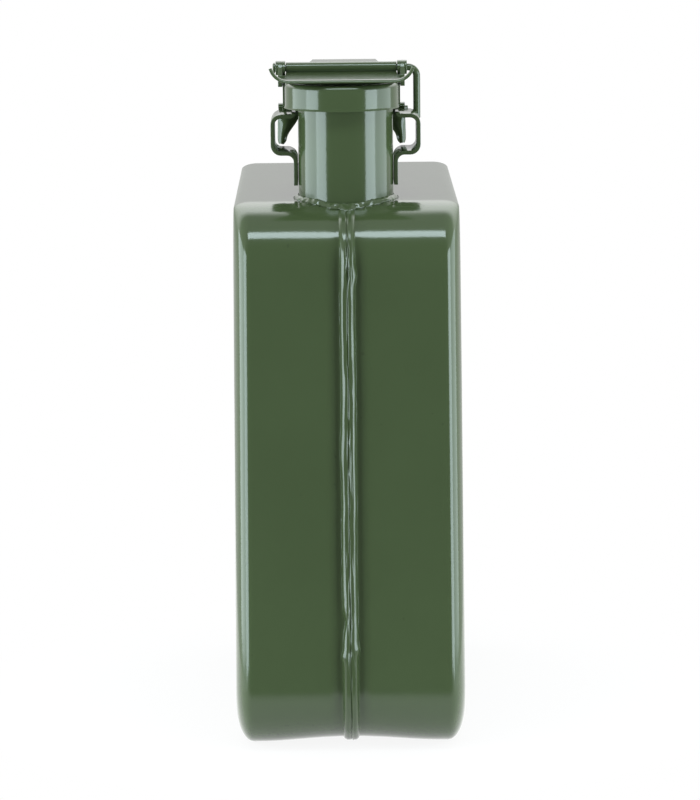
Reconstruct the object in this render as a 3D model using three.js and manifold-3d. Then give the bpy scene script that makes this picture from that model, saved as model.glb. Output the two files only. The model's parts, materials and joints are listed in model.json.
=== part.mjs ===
// A small pressed-steel jerry can with a hinged cap, a flat cap lever and a bent lock wire.
// Millimetres, +Z up. The origin is on the ground under the middle of the can.
// The narrow spout end faces -Y and the can is mirrored about X = 0.
import * as THREE from 'three';
import Module from 'manifold-3d';
import { mergeVertices } from 'three/addons/utils/BufferGeometryUtils.js';

// Fits between neighbouring pieces.
const FIT = 0.3;
const LEVER_CLEARANCE = 0.4;
const SEAM_GAP = 0.4;

// The body: two pressed half shells that meet at a raised seam.
const BODY_WIDTH = 106;
const BODY_DEPTH = 232.8;
const BODY_HEIGHT = 260;
const BODY_FLARE = 1.75;
const BODY_CORNER = 31;
const SHEET = 1;
const EDGE_ACROSS = 7;
const EDGE_ALONG = 18;
const TOP_EDGE_ALONG = 5;
const SEAM_HALF_WIDTH = 3.2;
const SEAM_ROUND = 1.2;
const SEAM_PROUD = 1.6;
const SEAM_GROUND_GAP = 0.5;
const VALLEY_DEPTH = 1.6;
const VALLEY_FLOOR = 2;
const VALLEY_SLOPE = 4;
const FOOT_VALLEY_DEPTH = 3.8;

// The plain cross pressed into each side panel.
const CROSS_DEPTH = 2.2;
const CROSS_FLOOR_WIDTH = 14;
const CROSS_SLOPE = 4;
const CROSS_SPAN_Y = 150;
const CROSS_SPAN_Z = 160;
const CROSS_CENTRE_Z = 131;

// The filler neck, its weld and the vent tube inside it.
const NECK_SETBACK = 45;
const NECK_RADIUS = 22.4;
const NECK_WALL = 1.5;
const NECK_LIP = 0.9;
const NECK_LIP_HEIGHT = 3;
const NECK_INSIDE_LENGTH = 8;
const WELD_WIDTH = 2.6;
const WELD_OVERHANG = 1.4;
const WELD_HEIGHT = 3;
const VENT_RADIUS = 4;
const VENT_WALL = 0.8;
const VENT_BELOW_MOUTH = 6;
const VENT_DROP = 12;
const VENT_BEND = 10;
const VENT_TAIL = 14;

// The strap loops welded to the sides of the neck.
const LOOP_REACH = 35.4;
const LOOP_SHEET = 1.9;
const LOOP_LENGTH = 27.8;
const LOOP_AHEAD = 4;
const LOOP_FOOT_Z = 6.3;
const LOOP_LOW_Z = 20.5;
const LOOP_TOP_Z = 39.95;
const LOOP_BEND = 4;
const LOOP_CURL = 1.6;
const TAB_LENGTH = 5.4;
const BEAD_RADIUS = 2;

// The closure: cap, bridge, links, rod wire and lever.
const CLOSURE_SHIFT = -1.7;
const CAP_SWING_DEGREES = 80;
const LINK_RISE = 20.3;
const WIRE_RADIUS = 1.7;
const TUBE_WALL = 0.7;
const TUBE_HALF = 26.4;
const TUBE_END_GAP = 0.4;
const BRIDGE_SHEET = 1;
const BRIDGE_WIDTH = 20;
const BRIDGE_AHEAD = 9;
const BRIDGE_STEP = 3;
const CROSSBAR_WIDTH = 5;
const EAR_SHEET = 1.6;
const EAR_RADIUS = 4.2;
const EAR_DROP = 8.4;
const LINK_SHEET = 1.3;
const LINK_WIDTH = 5.4;
const HOOK_WALL = 2.2;
const TONGUE_SHEET = 1.6;
const TONGUE_TOP_WIDTH = 10;
const TONGUE_TIP_WIDTH = 3;
const TONGUE_LENGTH = 14.2;
const TONGUE_OVERHANG = 2.2;
const WASHER_SHEET = 1;
const WASHER_RADIUS = 3.4;
const PEEN_LENGTH = 1.2;
const PEEN_RADIUS = 2.7;
const WIRE_GAP = 2.6;
const WIRE_BEND = 4.2;
const WIRE_BELOW_HINGE = 4.5;

// The cap with its gasket, retainer and rivet.
const CAP_RADIUS = 26.8;
const CAP_SHEET = 1;
const CAP_HEIGHT = 11.9;
const CAP_ROUND = 2.5;
const CAP_FLARE = 0.4;
const CAP_DISH_RADIUS = 20;
const CAP_DISH_DEPTH = 1.5;
const GASKET_SHEET = 2.1;
const GASKET_BORE = 4;
const RETAINER_CLEARANCE = 1.3;
const RETAINER_SHEET = 0.8;
const RIVET_RADIUS = 2;
const RIVET_HEAD = 4;
const RIVET_HEAD_HEIGHT = 0.7;

// The lever plate that lies on the cap.
const LEVER_SHEET = 1.2;
const LEVER_AHEAD = 26;
const LEVER_REAR_HALF = 26;
const LEVER_FRONT_HALF = 33.2;
const LEVER_FLAT_HALF = 22.6;
const LEVER_WING_RISE = 6.2;
const LEVER_WING_LENGTH = 18;

// The carrying handle, a pressed channel on the top.
const HANDLE_WIDTH = 33.5;
const HANDLE_RISE = 56;
const HANDLE_FRONT_Y = -12;
const HANDLE_REAR_SETBACK = 42.4;
const HANDLE_LEAN = 6;
const HANDLE_CORNER = 16;
const HANDLE_SHEET = 1.5;
const HANDLE_FLANGE = 8;
const HANDLE_FOOT = 12;
const HANDLE_FOOT_BEND = 3;
const HANDLE_WELD = 2.2;

// Facets of round pieces.
const ROUND_SIDES = 40;
const SMALL_SIDES = 16;
const CORNER_STEPS = 6;
const BEND_STEPS = 4;
const EDGE_STEPS = 5;
const LEVER_WING_COLUMNS = 4;
const LEVER_WING_STEPS = 4;
const OVERCUT = 1;
const WELD_POINTS = 1e-4;

// Places worked out from the sizes.
const TOP = BODY_HEIGHT;
const NECK_Y = NECK_SETBACK - BODY_DEPTH / 2 - SEAM_PROUD;
const HINGE_Y = NECK_Y - LOOP_AHEAD + LOOP_LENGTH + TAB_LENGTH;
const HINGE_Z = TOP + LOOP_TOP_Z - LOOP_SHEET / 2;
const ROD_Z = HINGE_Z + LINK_RISE;
const TUBE_RADIUS = WIRE_RADIUS + FIT + TUBE_WALL;
const LEVER_UNDER_Z = ROD_Z - TUBE_RADIUS;
const BRIDGE_TOP_Z = LEVER_UNDER_Z - LEVER_CLEARANCE;
const CAP_TOP_Z = BRIDGE_TOP_Z - BRIDGE_SHEET - FIT;
const DISH_Z = CAP_TOP_Z - CAP_DISH_DEPTH;
const GASKET_Z = DISH_Z - CAP_SHEET - FIT - GASKET_SHEET;
const NECK_TOP_Z = GASKET_Z - FIT;
const RETAINER_Z = GASKET_Z - FIT - RETAINER_SHEET;
const RETAINER_RADIUS = NECK_RADIUS - NECK_WALL - Math.abs(CLOSURE_SHIFT) - RETAINER_CLEARANCE;
const LINK_IN = TUBE_HALF + TUBE_END_GAP;
const LINK_OUT = LINK_IN + LINK_SHEET;
const EAR_IN = LINK_OUT + FIT;
const EAR_OUT = EAR_IN + EAR_SHEET;
const WASHER_IN = EAR_OUT + FIT;
const TAB_IN = LINK_IN - Math.abs(CLOSURE_SHIFT) - 2 * FIT;
const TAB_OUT = LINK_OUT + Math.abs(CLOSURE_SHIFT) + FIT;
const WIRE_X = TAB_OUT + WIRE_GAP + WIRE_RADIUS;
const ROD_HOLE = WIRE_RADIUS + FIT;
const HANDLE_REAR_Y = BODY_DEPTH / 2 - HANDLE_REAR_SETBACK;

const wasm = await Module();
wasm.setup();

const can = new THREE.Group();
const closure = new THREE.Group();
closure.position.x = CLOSURE_SHIFT;
can.add(closure);

const PAINT = { color: 0x4f6444, roughness: 0.25, metalness: 0.1 };
const RUBBER = { color: 0x20221f, roughness: 0.75, metalness: 0 };
const ZINC = { color: 0x9aa09a, roughness: 0.4, metalness: 0.9 };

// A closed geometry as a solid that can be joined and cut.
function solid(geometry) {
  const bare = geometry.clone();
  bare.deleteAttribute('normal');
  bare.deleteAttribute('uv');
  const merged = mergeVertices(bare, WELD_POINTS);
  const index = merged.index.array;
  const corners = [];
  for (let i = 0; i < index.length; i += 3) {
    const [a, b, c] = [index[i], index[i + 1], index[i + 2]];
    if (a !== b && b !== c && c !== a) {
      corners.push(a, b, c);
    }
  }
  return new wasm.Manifold(new wasm.Mesh({
    numProp: 3,
    vertProperties: new Float32Array(merged.attributes.position.array),
    triVerts: new Uint32Array(corners),
  }));
}

// Names a finished solid and hangs it in its group.
function addPiece(group, name, body, finish) {
  const mesh = body.getMesh();
  const geometry = new THREE.BufferGeometry();
  geometry.setAttribute('position', new THREE.BufferAttribute(mesh.vertProperties, 3));
  geometry.setIndex(new THREE.BufferAttribute(mesh.triVerts, 1));
  const piece = new THREE.Mesh(geometry, new THREE.MeshStandardMaterial(finish));
  piece.name = name;
  group.add(piece);
}

// A shape drawn in Y and Z, made solid from x = from to x = to.
function alongX(shape, from, to) {
  const geometry = new THREE.ExtrudeGeometry(shape, {
    depth: to - from, bevelEnabled: false, curveSegments: BEND_STEPS,
  });
  const turn = new THREE.Matrix4().makeBasis(
    new THREE.Vector3(0, 1, 0), new THREE.Vector3(0, 0, 1), new THREE.Vector3(1, 0, 0));
  return solid(geometry.applyMatrix4(turn).translate(from, 0, 0));
}

// A shape drawn in X and Z, made solid from y = from to y = to.
function alongY(shape, from, to) {
  const geometry = new THREE.ExtrudeGeometry(shape, {
    depth: to - from, bevelEnabled: false, curveSegments: BEND_STEPS,
  });
  return solid(geometry.rotateX(Math.PI / 2).translate(0, to, 0));
}

function box(low, high) {
  const size = new THREE.Vector3().subVectors(high, low);
  const middle = new THREE.Vector3().addVectors(low, high).multiplyScalar(0.5);
  return solid(new THREE.BoxGeometry(size.x, size.y, size.z).translate(middle.x, middle.y, middle.z));
}

// A round bar along X through a point in Y and Z.
function barX(radius, from, to, y, z, sides = SMALL_SIDES) {
  const geometry = new THREE.CylinderGeometry(radius, radius, to - from, sides);
  return solid(geometry.rotateZ(Math.PI / 2).translate((from + to) / 2, y, z));
}

// A round post along Z on the neck's axis.
function postZ(radius, from, to, sides = ROUND_SIDES) {
  const geometry = new THREE.CylinderGeometry(radius, radius, to - from, sides);
  return solid(geometry.rotateX(Math.PI / 2).translate(0, NECK_Y, (from + to) / 2));
}

// A closed profile of [radius, z] pairs turned about the neck's axis.
function turned(profile) {
  const points = profile.map(([radius, z]) => new THREE.Vector2(radius, z));
  points.push(points[0].clone());
  const geometry = new THREE.LatheGeometry(points, ROUND_SIDES);
  const body = solid(geometry.rotateX(Math.PI / 2).translate(0, NECK_Y, 0));
  return body;
}

// A closed skin over rings of equal point count, with flat ends across an axis.
function loft(rings, flatten) {
  const count = rings[0].length;
  const positions = rings.flat().flatMap((p) => [p.x, p.y, p.z]);
  const faces = [];
  for (let r = 0; r + 1 < rings.length; r += 1) {
    for (let i = 0; i < count; i += 1) {
      const a = r * count + i;
      const b = r * count + (i + 1) % count;
      faces.push(a, b, b + count, a, b + count, a + count);
    }
  }
  const last = (rings.length - 1) * count;
  for (const [a, b, c] of THREE.ShapeUtils.triangulateShape(rings[0].map(flatten), [])) {
    faces.push(c, b, a, last + a, last + b, last + c);
  }
  const geometry = new THREE.BufferGeometry();
  geometry.setAttribute('position', new THREE.Float32BufferAttribute(positions, 3));
  geometry.setIndex(faces);
  return solid(geometry);
}

// A flat strip of even thickness that follows a drawn path.
function band(path, thickness) {
  const line = path.getPoints(BEND_STEPS).filter((p, i, all) => i === 0 || p.distanceTo(all[i - 1]) > WELD_POINTS);
  const near = [];
  const far = [];
  line.forEach((point, i) => {
    const into = new THREE.Vector2().subVectors(point, line[Math.max(i - 1, 0)]).normalize();
    const out = new THREE.Vector2().subVectors(line[Math.min(i + 1, line.length - 1)], point).normalize();
    const along = new THREE.Vector2().addVectors(into, out).normalize();
    const normal = new THREE.Vector2(-along.y, along.x);
    const straight = i === 0 ? out : into;
    const reach = thickness / 2 / Math.max(along.dot(straight), 0.5);
    near.push(point.clone().addScaledVector(normal, reach));
    far.unshift(point.clone().addScaledVector(normal, -reach));
  });
  return new THREE.Shape([...near, ...far]);
}

// The body is a little wider at the ground than at the top.
function flared(x, z) {
  return x * (1 + BODY_FLARE / (BODY_WIDTH / 2) * (1 - z / TOP));
}

// One outline of the body in Y and Z at a given x, drawn in from the full size.
// Each corner keeps its centre, so a deeper outline has a tighter corner.
function bodyOutline(x, inset) {
  const middleY = BODY_DEPTH / 2 - BODY_CORNER;
  const acrossY = BODY_CORNER - inset.face;
  const points = [];
  const corners = [
    { y: middleY, z: TOP - BODY_CORNER, rise: BODY_CORNER - inset.top, start: 0 },
    { y: -middleY, z: TOP - BODY_CORNER, rise: BODY_CORNER - inset.top, start: 1 },
    { y: -middleY, z: BODY_CORNER, rise: BODY_CORNER - inset.bottom, start: 2 },
    { y: middleY, z: BODY_CORNER, rise: BODY_CORNER - inset.bottom, start: 3 },
  ];
  for (const corner of corners) {
    for (let step = 0; step <= CORNER_STEPS; step += 1) {
      const angle = (corner.start + step / CORNER_STEPS) * Math.PI / 2;
      const z = corner.z + corner.rise * Math.sin(angle);
      points.push(new THREE.Vector3(flared(x, z), corner.y + acrossY * Math.cos(angle), z));
    }
  }
  return points;
}

function evenInset(face, bottom, top) {
  return { face, bottom, top };
}

// The rounded lateral edge, from the flat of the wall to the side panel.
function edgeOutlines(wall) {
  const outlines = [];
  for (let step = 0; step <= EDGE_STEPS; step += 1) {
    const angle = step / EDGE_STEPS * Math.PI / 2;
    const draw = 1 - Math.cos(angle);
    const x = BODY_WIDTH / 2 - EDGE_ACROSS + (EDGE_ACROSS - wall) * Math.sin(angle);
    const along = wall + (EDGE_ALONG - wall) * draw;
    outlines.push(bodyOutline(x, evenInset(along, along, wall + (TOP_EDGE_ALONG - wall) * draw)));
  }
  return outlines;
}

// A cross of two slanted bars, drawn in Y and Z at a given x and grown all round from its floor.
function crossOutline(x, grow) {
  const halfWidth = CROSS_FLOOR_WIDTH / 2 + grow;
  const arm = new THREE.Vector2(CROSS_SPAN_Y / 2, CROSS_SPAN_Z / 2);
  const along = arm.clone().normalize();
  arm.addScaledVector(along, grow);
  const points = [];
  for (let quarter = 0; quarter < 4; quarter += 1) {
    const sideY = quarter === 0 || quarter === 3 ? 1 : -1;
    const sideZ = quarter < 2 ? 1 : -1;
    const end = new THREE.Vector2(arm.x * sideY, arm.y * sideZ);
    const across = new THREE.Vector2(along.y * sideZ, -along.x * sideY).multiplyScalar(halfWidth);
    const crotch = quarter % 2 === 0
      ? new THREE.Vector2(halfWidth / along.y * sideY, 0)
      : new THREE.Vector2(0, halfWidth / along.x * sideZ);
    points.push(crotch, end.clone().add(across), end.clone().sub(across));
  }
  return points.map((p) => {
    const z = CROSS_CENTRE_Z + p.y;
    return new THREE.Vector3(flared(x, z), p.x, z);
  });
}

const inSide = (p) => new THREE.Vector2(p.y, p.z);
const inFront = (p) => new THREE.Vector2(p.x, p.z);

// One pressed half shell on the +X side, open at the seam and cut out for the neck's weld.
function halfShell() {
  const ridge = evenInset(-SEAM_PROUD, SEAM_GROUND_GAP, 0);
  const ridgeEdge = evenInset(SEAM_ROUND - SEAM_PROUD, SEAM_GROUND_GAP + SEAM_ROUND, SEAM_ROUND);
  const valley = evenInset(VALLEY_DEPTH, FOOT_VALLEY_DEPTH, VALLEY_DEPTH);
  const inside = evenInset(VALLEY_DEPTH + SHEET, FOOT_VALLEY_DEPTH + SHEET, VALLEY_DEPTH + SHEET);
  const floorX = SEAM_HALF_WIDTH + VALLEY_FLOOR;
  const outer = loft([
    bodyOutline(SEAM_GAP / 2, ridge),
    bodyOutline(SEAM_HALF_WIDTH - SEAM_ROUND, ridge),
    bodyOutline(SEAM_HALF_WIDTH, ridgeEdge),
    bodyOutline(SEAM_HALF_WIDTH + SEAM_ROUND / 2, valley),
    bodyOutline(floorX, valley),
    bodyOutline(floorX + VALLEY_SLOPE, evenInset(0, 0, 0)),
    ...edgeOutlines(0),
  ], inSide);
  const inner = loft([
    bodyOutline(SEAM_GAP / 2 - OVERCUT, inside),
    bodyOutline(floorX, inside),
    bodyOutline(floorX + VALLEY_SLOPE, evenInset(SHEET, SHEET, SHEET)),
    ...edgeOutlines(SHEET),
  ], inSide);
  const half = BODY_WIDTH / 2;
  const pressed = loft([
    crossOutline(half - CROSS_DEPTH, 0),
    crossOutline(half + OVERCUT, CROSS_SLOPE * (1 + OVERCUT / CROSS_DEPTH)),
  ], inSide);
  const behind = loft([
    crossOutline(half - CROSS_DEPTH - SHEET, SHEET),
    crossOutline(half + OVERCUT, SHEET + CROSS_SLOPE * (1 + (OVERCUT + SHEET) / CROSS_DEPTH)),
  ], inSide);
  const seat = postZ(NECK_RADIUS + FIT + WELD_WIDTH + FIT, TOP - BODY_CORNER, TOP + OVERCUT);
  return outer.subtract(pressed).subtract(inner.subtract(behind)).subtract(seat);
}

const rightShell = halfShell();
addPiece(can, 'right_shell', rightShell, PAINT);
addPiece(can, 'left_shell', rightShell.mirror([1, 0, 0]), PAINT);

// The neck is a plain tube with a small rolled lip at its mouth.
const neckInner = NECK_RADIUS - NECK_WALL;
const lipRadius = NECK_RADIUS + NECK_LIP;
addPiece(can, 'neck', turned([
  [neckInner, TOP - NECK_INSIDE_LENGTH],
  [NECK_RADIUS, TOP - NECK_INSIDE_LENGTH],
  [NECK_RADIUS, NECK_TOP_Z - NECK_LIP_HEIGHT],
  [lipRadius, NECK_TOP_Z - NECK_LIP_HEIGHT + NECK_LIP],
  [lipRadius, NECK_TOP_Z - NECK_LIP],
  [NECK_RADIUS, NECK_TOP_Z],
  [neckInner, NECK_TOP_Z],
]), PAINT);

// The weld fills the ring between the neck and the hole in the top.
const weldIn = NECK_RADIUS + FIT;
const weldOut = weldIn + WELD_WIDTH;
addPiece(can, 'neck_weld', turned([
  [weldIn, TOP - VALLEY_DEPTH - SHEET],
  [weldOut, TOP - VALLEY_DEPTH - SHEET],
  [weldOut, TOP + FIT],
  [weldOut + WELD_OVERHANG, TOP + FIT],
  [weldOut, TOP + WELD_HEIGHT / 2],
  [weldIn, TOP + WELD_HEIGHT],
]), PAINT);

// The vent tube lets air past the fuel: down the back of the neck, then rearward.
function ventTube() {
  const y = NECK_Y + neckInner - FIT - VENT_RADIUS;
  const low = TOP - VENT_DROP;
  const route = new THREE.CurvePath();
  const mouth = new THREE.Vector3(0, y, NECK_TOP_Z - VENT_BELOW_MOUTH);
  const knee = new THREE.Vector3(0, y, low);
  const heel = new THREE.Vector3(0, y + VENT_BEND, low - VENT_BEND);
  const tail = new THREE.Vector3(0, y + VENT_BEND + VENT_TAIL, low - VENT_BEND);
  route.add(new THREE.LineCurve3(mouth, knee));
  route.add(new THREE.QuadraticBezierCurve3(knee, new THREE.Vector3(0, y, low - VENT_BEND), heel));
  route.add(new THREE.LineCurve3(heel, tail));
  const section = new THREE.Shape().absarc(0, 0, VENT_RADIUS, 0, 2 * Math.PI);
  section.holes.push(new THREE.Path().absarc(0, 0, VENT_RADIUS - VENT_WALL, 0, 2 * Math.PI, true));
  return solid(new THREE.ExtrudeGeometry(section, {
    extrudePath: route, steps: SMALL_SIDES, curveSegments: SMALL_SIDES / 2,
  }));
}
addPiece(can, 'vent_tube', ventTube(), ZINC);

// A loop is one bent strap: foot on the neck, shelf, outer wall, top flange and an inner curl.
// A tab behind its top flange ends in the bead that the cap's link hooks round.
function neckLoop() {
  const legX = NECK_RADIUS + FIT + LOOP_SHEET / 2;
  const outX = LOOP_REACH - LOOP_SHEET / 2;
  const lowZ = TOP + LOOP_LOW_Z + LOOP_SHEET / 2;
  const path = new THREE.Path();
  path.moveTo(legX, TOP + LOOP_FOOT_Z);
  path.lineTo(legX, lowZ - LOOP_BEND);
  path.quadraticCurveTo(legX, lowZ, legX + LOOP_BEND, lowZ);
  path.lineTo(outX - LOOP_BEND, lowZ);
  path.quadraticCurveTo(outX, lowZ, outX, lowZ + LOOP_BEND);
  path.lineTo(outX, HINGE_Z - LOOP_BEND);
  path.quadraticCurveTo(outX, HINGE_Z, outX - LOOP_BEND, HINGE_Z);
  path.lineTo(legX + 2 * LOOP_CURL, HINGE_Z);
  path.quadraticCurveTo(legX + LOOP_CURL / 2, HINGE_Z, legX + LOOP_CURL / 2, HINGE_Z + LOOP_CURL);
  const front = NECK_Y - LOOP_AHEAD;
  const rear = front + LOOP_LENGTH;
  const strap = alongY(band(path, LOOP_SHEET), front, rear);
  const tab = box(
    new THREE.Vector3(TAB_IN, rear - OVERCUT, HINGE_Z - LOOP_SHEET / 2),
    new THREE.Vector3(TAB_OUT, HINGE_Y, HINGE_Z + LOOP_SHEET / 2));
  return strap.add(tab).add(barX(BEAD_RADIUS, TAB_IN, TAB_OUT, HINGE_Y, HINGE_Z));
}
const rightLoop = neckLoop();
addPiece(can, 'right_loop', rightLoop, PAINT);
addPiece(can, 'left_loop', rightLoop.mirror([1, 0, 0]), PAINT);

// The handle is a channel: a bent strap with both edges turned down.
function handleArch(depth, feet) {
  const low = TOP + FIT + depth / 2;
  const high = TOP + HANDLE_RISE - depth / 2;
  const front = HANDLE_FRONT_Y + depth / 2;
  const rear = HANDLE_REAR_Y - depth / 2;
  const corner = HANDLE_CORNER - depth / 2;
  const path = new THREE.Path();
  if (feet) {
    path.moveTo(front - HANDLE_FOOT, low);
    path.lineTo(front - HANDLE_FOOT_BEND, low);
    path.quadraticCurveTo(front, low, front, low + HANDLE_FOOT_BEND);
  } else {
    path.moveTo(front, TOP + FIT);
    path.lineTo(front, TOP + FIT + HANDLE_FOOT_BEND);
  }
  path.lineTo(front + HANDLE_LEAN, high - corner);
  path.quadraticCurveTo(front + HANDLE_LEAN, high, front + HANDLE_LEAN + corner, high);
  path.lineTo(rear - HANDLE_LEAN - corner, high);
  path.quadraticCurveTo(rear - HANDLE_LEAN, high, rear - HANDLE_LEAN, high - corner);
  if (feet) {
    path.lineTo(rear, low + HANDLE_FOOT_BEND);
    path.quadraticCurveTo(rear, low, rear + HANDLE_FOOT_BEND, low);
    path.lineTo(rear + HANDLE_FOOT, low);
  } else {
    path.lineTo(rear, TOP + FIT + HANDLE_FOOT_BEND);
    path.lineTo(rear, TOP + FIT);
  }
  return band(path, depth);
}
const handleHalf = HANDLE_WIDTH / 2;
const handleStrap = alongX(handleArch(HANDLE_SHEET, true), -handleHalf, handleHalf);
const rightFlange = alongX(handleArch(HANDLE_FLANGE, false), handleHalf - HANDLE_SHEET, handleHalf);
addPiece(can, 'handle', handleStrap.add(rightFlange).add(rightFlange.mirror([1, 0, 0])), PAINT);

// A fillet of weld runs along the end of each handle foot.
function footWeld(toeY, side) {
  const near = toeY + side * FIT;
  const shape = new THREE.Shape([
    new THREE.Vector2(near, TOP + FIT),
    new THREE.Vector2(near + side * HANDLE_WELD, TOP + FIT),
    new THREE.Vector2(near, TOP + FIT + HANDLE_SHEET),
  ]);
  return alongX(shape, -handleHalf, handleHalf);
}
const frontToe = HANDLE_FRONT_Y + HANDLE_SHEET / 2 - HANDLE_FOOT;
const rearToe = HANDLE_REAR_Y - HANDLE_SHEET / 2 + HANDLE_FOOT;
addPiece(can, 'front_handle_weld', footWeld(frontToe, -1), PAINT);
addPiece(can, 'rear_handle_weld', footWeld(rearToe, 1), PAINT);

// The cap is a pressed cup with a dished top and a slightly flared rim.
const rivetHole = RIVET_RADIUS + FIT;
const capLow = CAP_TOP_Z - CAP_HEIGHT;
const capInner = CAP_RADIUS - CAP_SHEET;
const dishRim = CAP_DISH_RADIUS + CAP_DISH_DEPTH;
const roundCut = CAP_ROUND * (1 - Math.SQRT1_2);
addPiece(closure, 'cap', turned([
  [rivetHole, DISH_Z],
  [CAP_DISH_RADIUS, DISH_Z],
  [dishRim, CAP_TOP_Z],
  [CAP_RADIUS - CAP_ROUND, CAP_TOP_Z],
  [CAP_RADIUS - roundCut, CAP_TOP_Z - roundCut],
  [CAP_RADIUS, CAP_TOP_Z - CAP_ROUND],
  [CAP_RADIUS, capLow + CAP_ROUND / 2],
  [CAP_RADIUS + CAP_FLARE, capLow],
  [capInner + CAP_FLARE, capLow],
  [capInner, capLow + CAP_ROUND / 2],
  [capInner, CAP_TOP_Z - CAP_ROUND],
  [CAP_RADIUS - CAP_ROUND, CAP_TOP_Z - CAP_SHEET],
  [dishRim + CAP_SHEET / 2, CAP_TOP_Z - CAP_SHEET],
  [CAP_DISH_RADIUS + CAP_SHEET / 2, DISH_Z - CAP_SHEET],
  [rivetHole, DISH_Z - CAP_SHEET],
].reverse()), PAINT);

const gasketRadius = capInner - FIT;
addPiece(closure, 'gasket', turned([
  [GASKET_BORE, GASKET_Z],
  [gasketRadius, GASKET_Z],
  [gasketRadius, GASKET_Z + GASKET_SHEET],
  [GASKET_BORE, GASKET_Z + GASKET_SHEET],
]), RUBBER);

addPiece(closure, 'gasket_retainer', turned([
  [rivetHole, RETAINER_Z],
  [RETAINER_RADIUS, RETAINER_Z],
  [RETAINER_RADIUS, RETAINER_Z + RETAINER_SHEET],
  [rivetHole, RETAINER_Z + RETAINER_SHEET],
]), ZINC);

// The rivet clamps the bridge, the cap, the gasket and its retainer together.
const bridgeLowZ = DISH_Z + FIT;
const rivetTopZ = bridgeLowZ + BRIDGE_SHEET + FIT;
const rivetLowZ = RETAINER_Z - FIT;
addPiece(closure, 'cap_rivet', turned([
  [0, rivetLowZ - RIVET_HEAD_HEIGHT],
  [RIVET_HEAD, rivetLowZ - RIVET_HEAD_HEIGHT],
  [RIVET_HEAD, rivetLowZ],
  [RIVET_RADIUS, rivetLowZ],
  [RIVET_RADIUS, rivetTopZ],
  [RIVET_HEAD, rivetTopZ],
  [RIVET_HEAD, rivetTopZ + RIVET_HEAD_HEIGHT / 2],
  [RIVET_HEAD / 2, rivetTopZ + RIVET_HEAD_HEIGHT],
  [0, rivetTopZ + RIVET_HEAD_HEIGHT],
]), PAINT);

// The bridge lies in the cap's dish, steps over its rim and carries the rod in two ears.
function capBridge() {
  const barRear = HINGE_Y - TUBE_RADIUS - FIT;
  const barFront = barRear - CROSSBAR_WIDTH;
  const stepRear = NECK_Y + Math.sqrt(CAP_DISH_RADIUS ** 2 - (BRIDGE_WIDTH / 2) ** 2) - FIT;
  const stepFront = stepRear - BRIDGE_STEP;
  const highLowZ = BRIDGE_TOP_Z - BRIDGE_SHEET;
  const side = new THREE.Shape([
    new THREE.Vector2(NECK_Y - BRIDGE_AHEAD, bridgeLowZ),
    new THREE.Vector2(stepFront, bridgeLowZ),
    new THREE.Vector2(stepRear, highLowZ),
    new THREE.Vector2(barRear, highLowZ),
    new THREE.Vector2(barRear, BRIDGE_TOP_Z),
    new THREE.Vector2(stepRear - BRIDGE_SHEET, BRIDGE_TOP_Z),
    new THREE.Vector2(stepFront - BRIDGE_SHEET, bridgeLowZ + BRIDGE_SHEET),
    new THREE.Vector2(NECK_Y - BRIDGE_AHEAD, bridgeLowZ + BRIDGE_SHEET),
  ]);
  const earShape = new THREE.Shape([
    new THREE.Vector2(barFront, ROD_Z - EAR_DROP),
    new THREE.Vector2(HINGE_Y, ROD_Z - EAR_DROP),
    new THREE.Vector2(HINGE_Y + EAR_RADIUS, ROD_Z),
    new THREE.Vector2(HINGE_Y, ROD_Z + EAR_RADIUS),
    new THREE.Vector2(barFront, BRIDGE_TOP_Z),
  ]);
  const crossbar = box(
    new THREE.Vector3(-EAR_OUT, barFront, highLowZ), new THREE.Vector3(EAR_OUT, barRear, BRIDGE_TOP_Z));
  const ear = alongX(earShape, EAR_IN, EAR_OUT).add(barX(EAR_RADIUS, EAR_IN, EAR_OUT, HINGE_Y, ROD_Z));
  return alongX(side, -BRIDGE_WIDTH / 2, BRIDGE_WIDTH / 2)
    .add(crossbar).add(ear).add(ear.mirror([1, 0, 0]))
    .subtract(barX(ROD_HOLE, -EAR_OUT - OVERCUT, EAR_OUT + OVERCUT, HINGE_Y, ROD_Z))
    .subtract(postZ(rivetHole, bridgeLowZ - FIT / 2, BRIDGE_TOP_Z + OVERCUT, SMALL_SIDES));
}
addPiece(closure, 'cap_bridge', capBridge(), PAINT);

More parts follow.
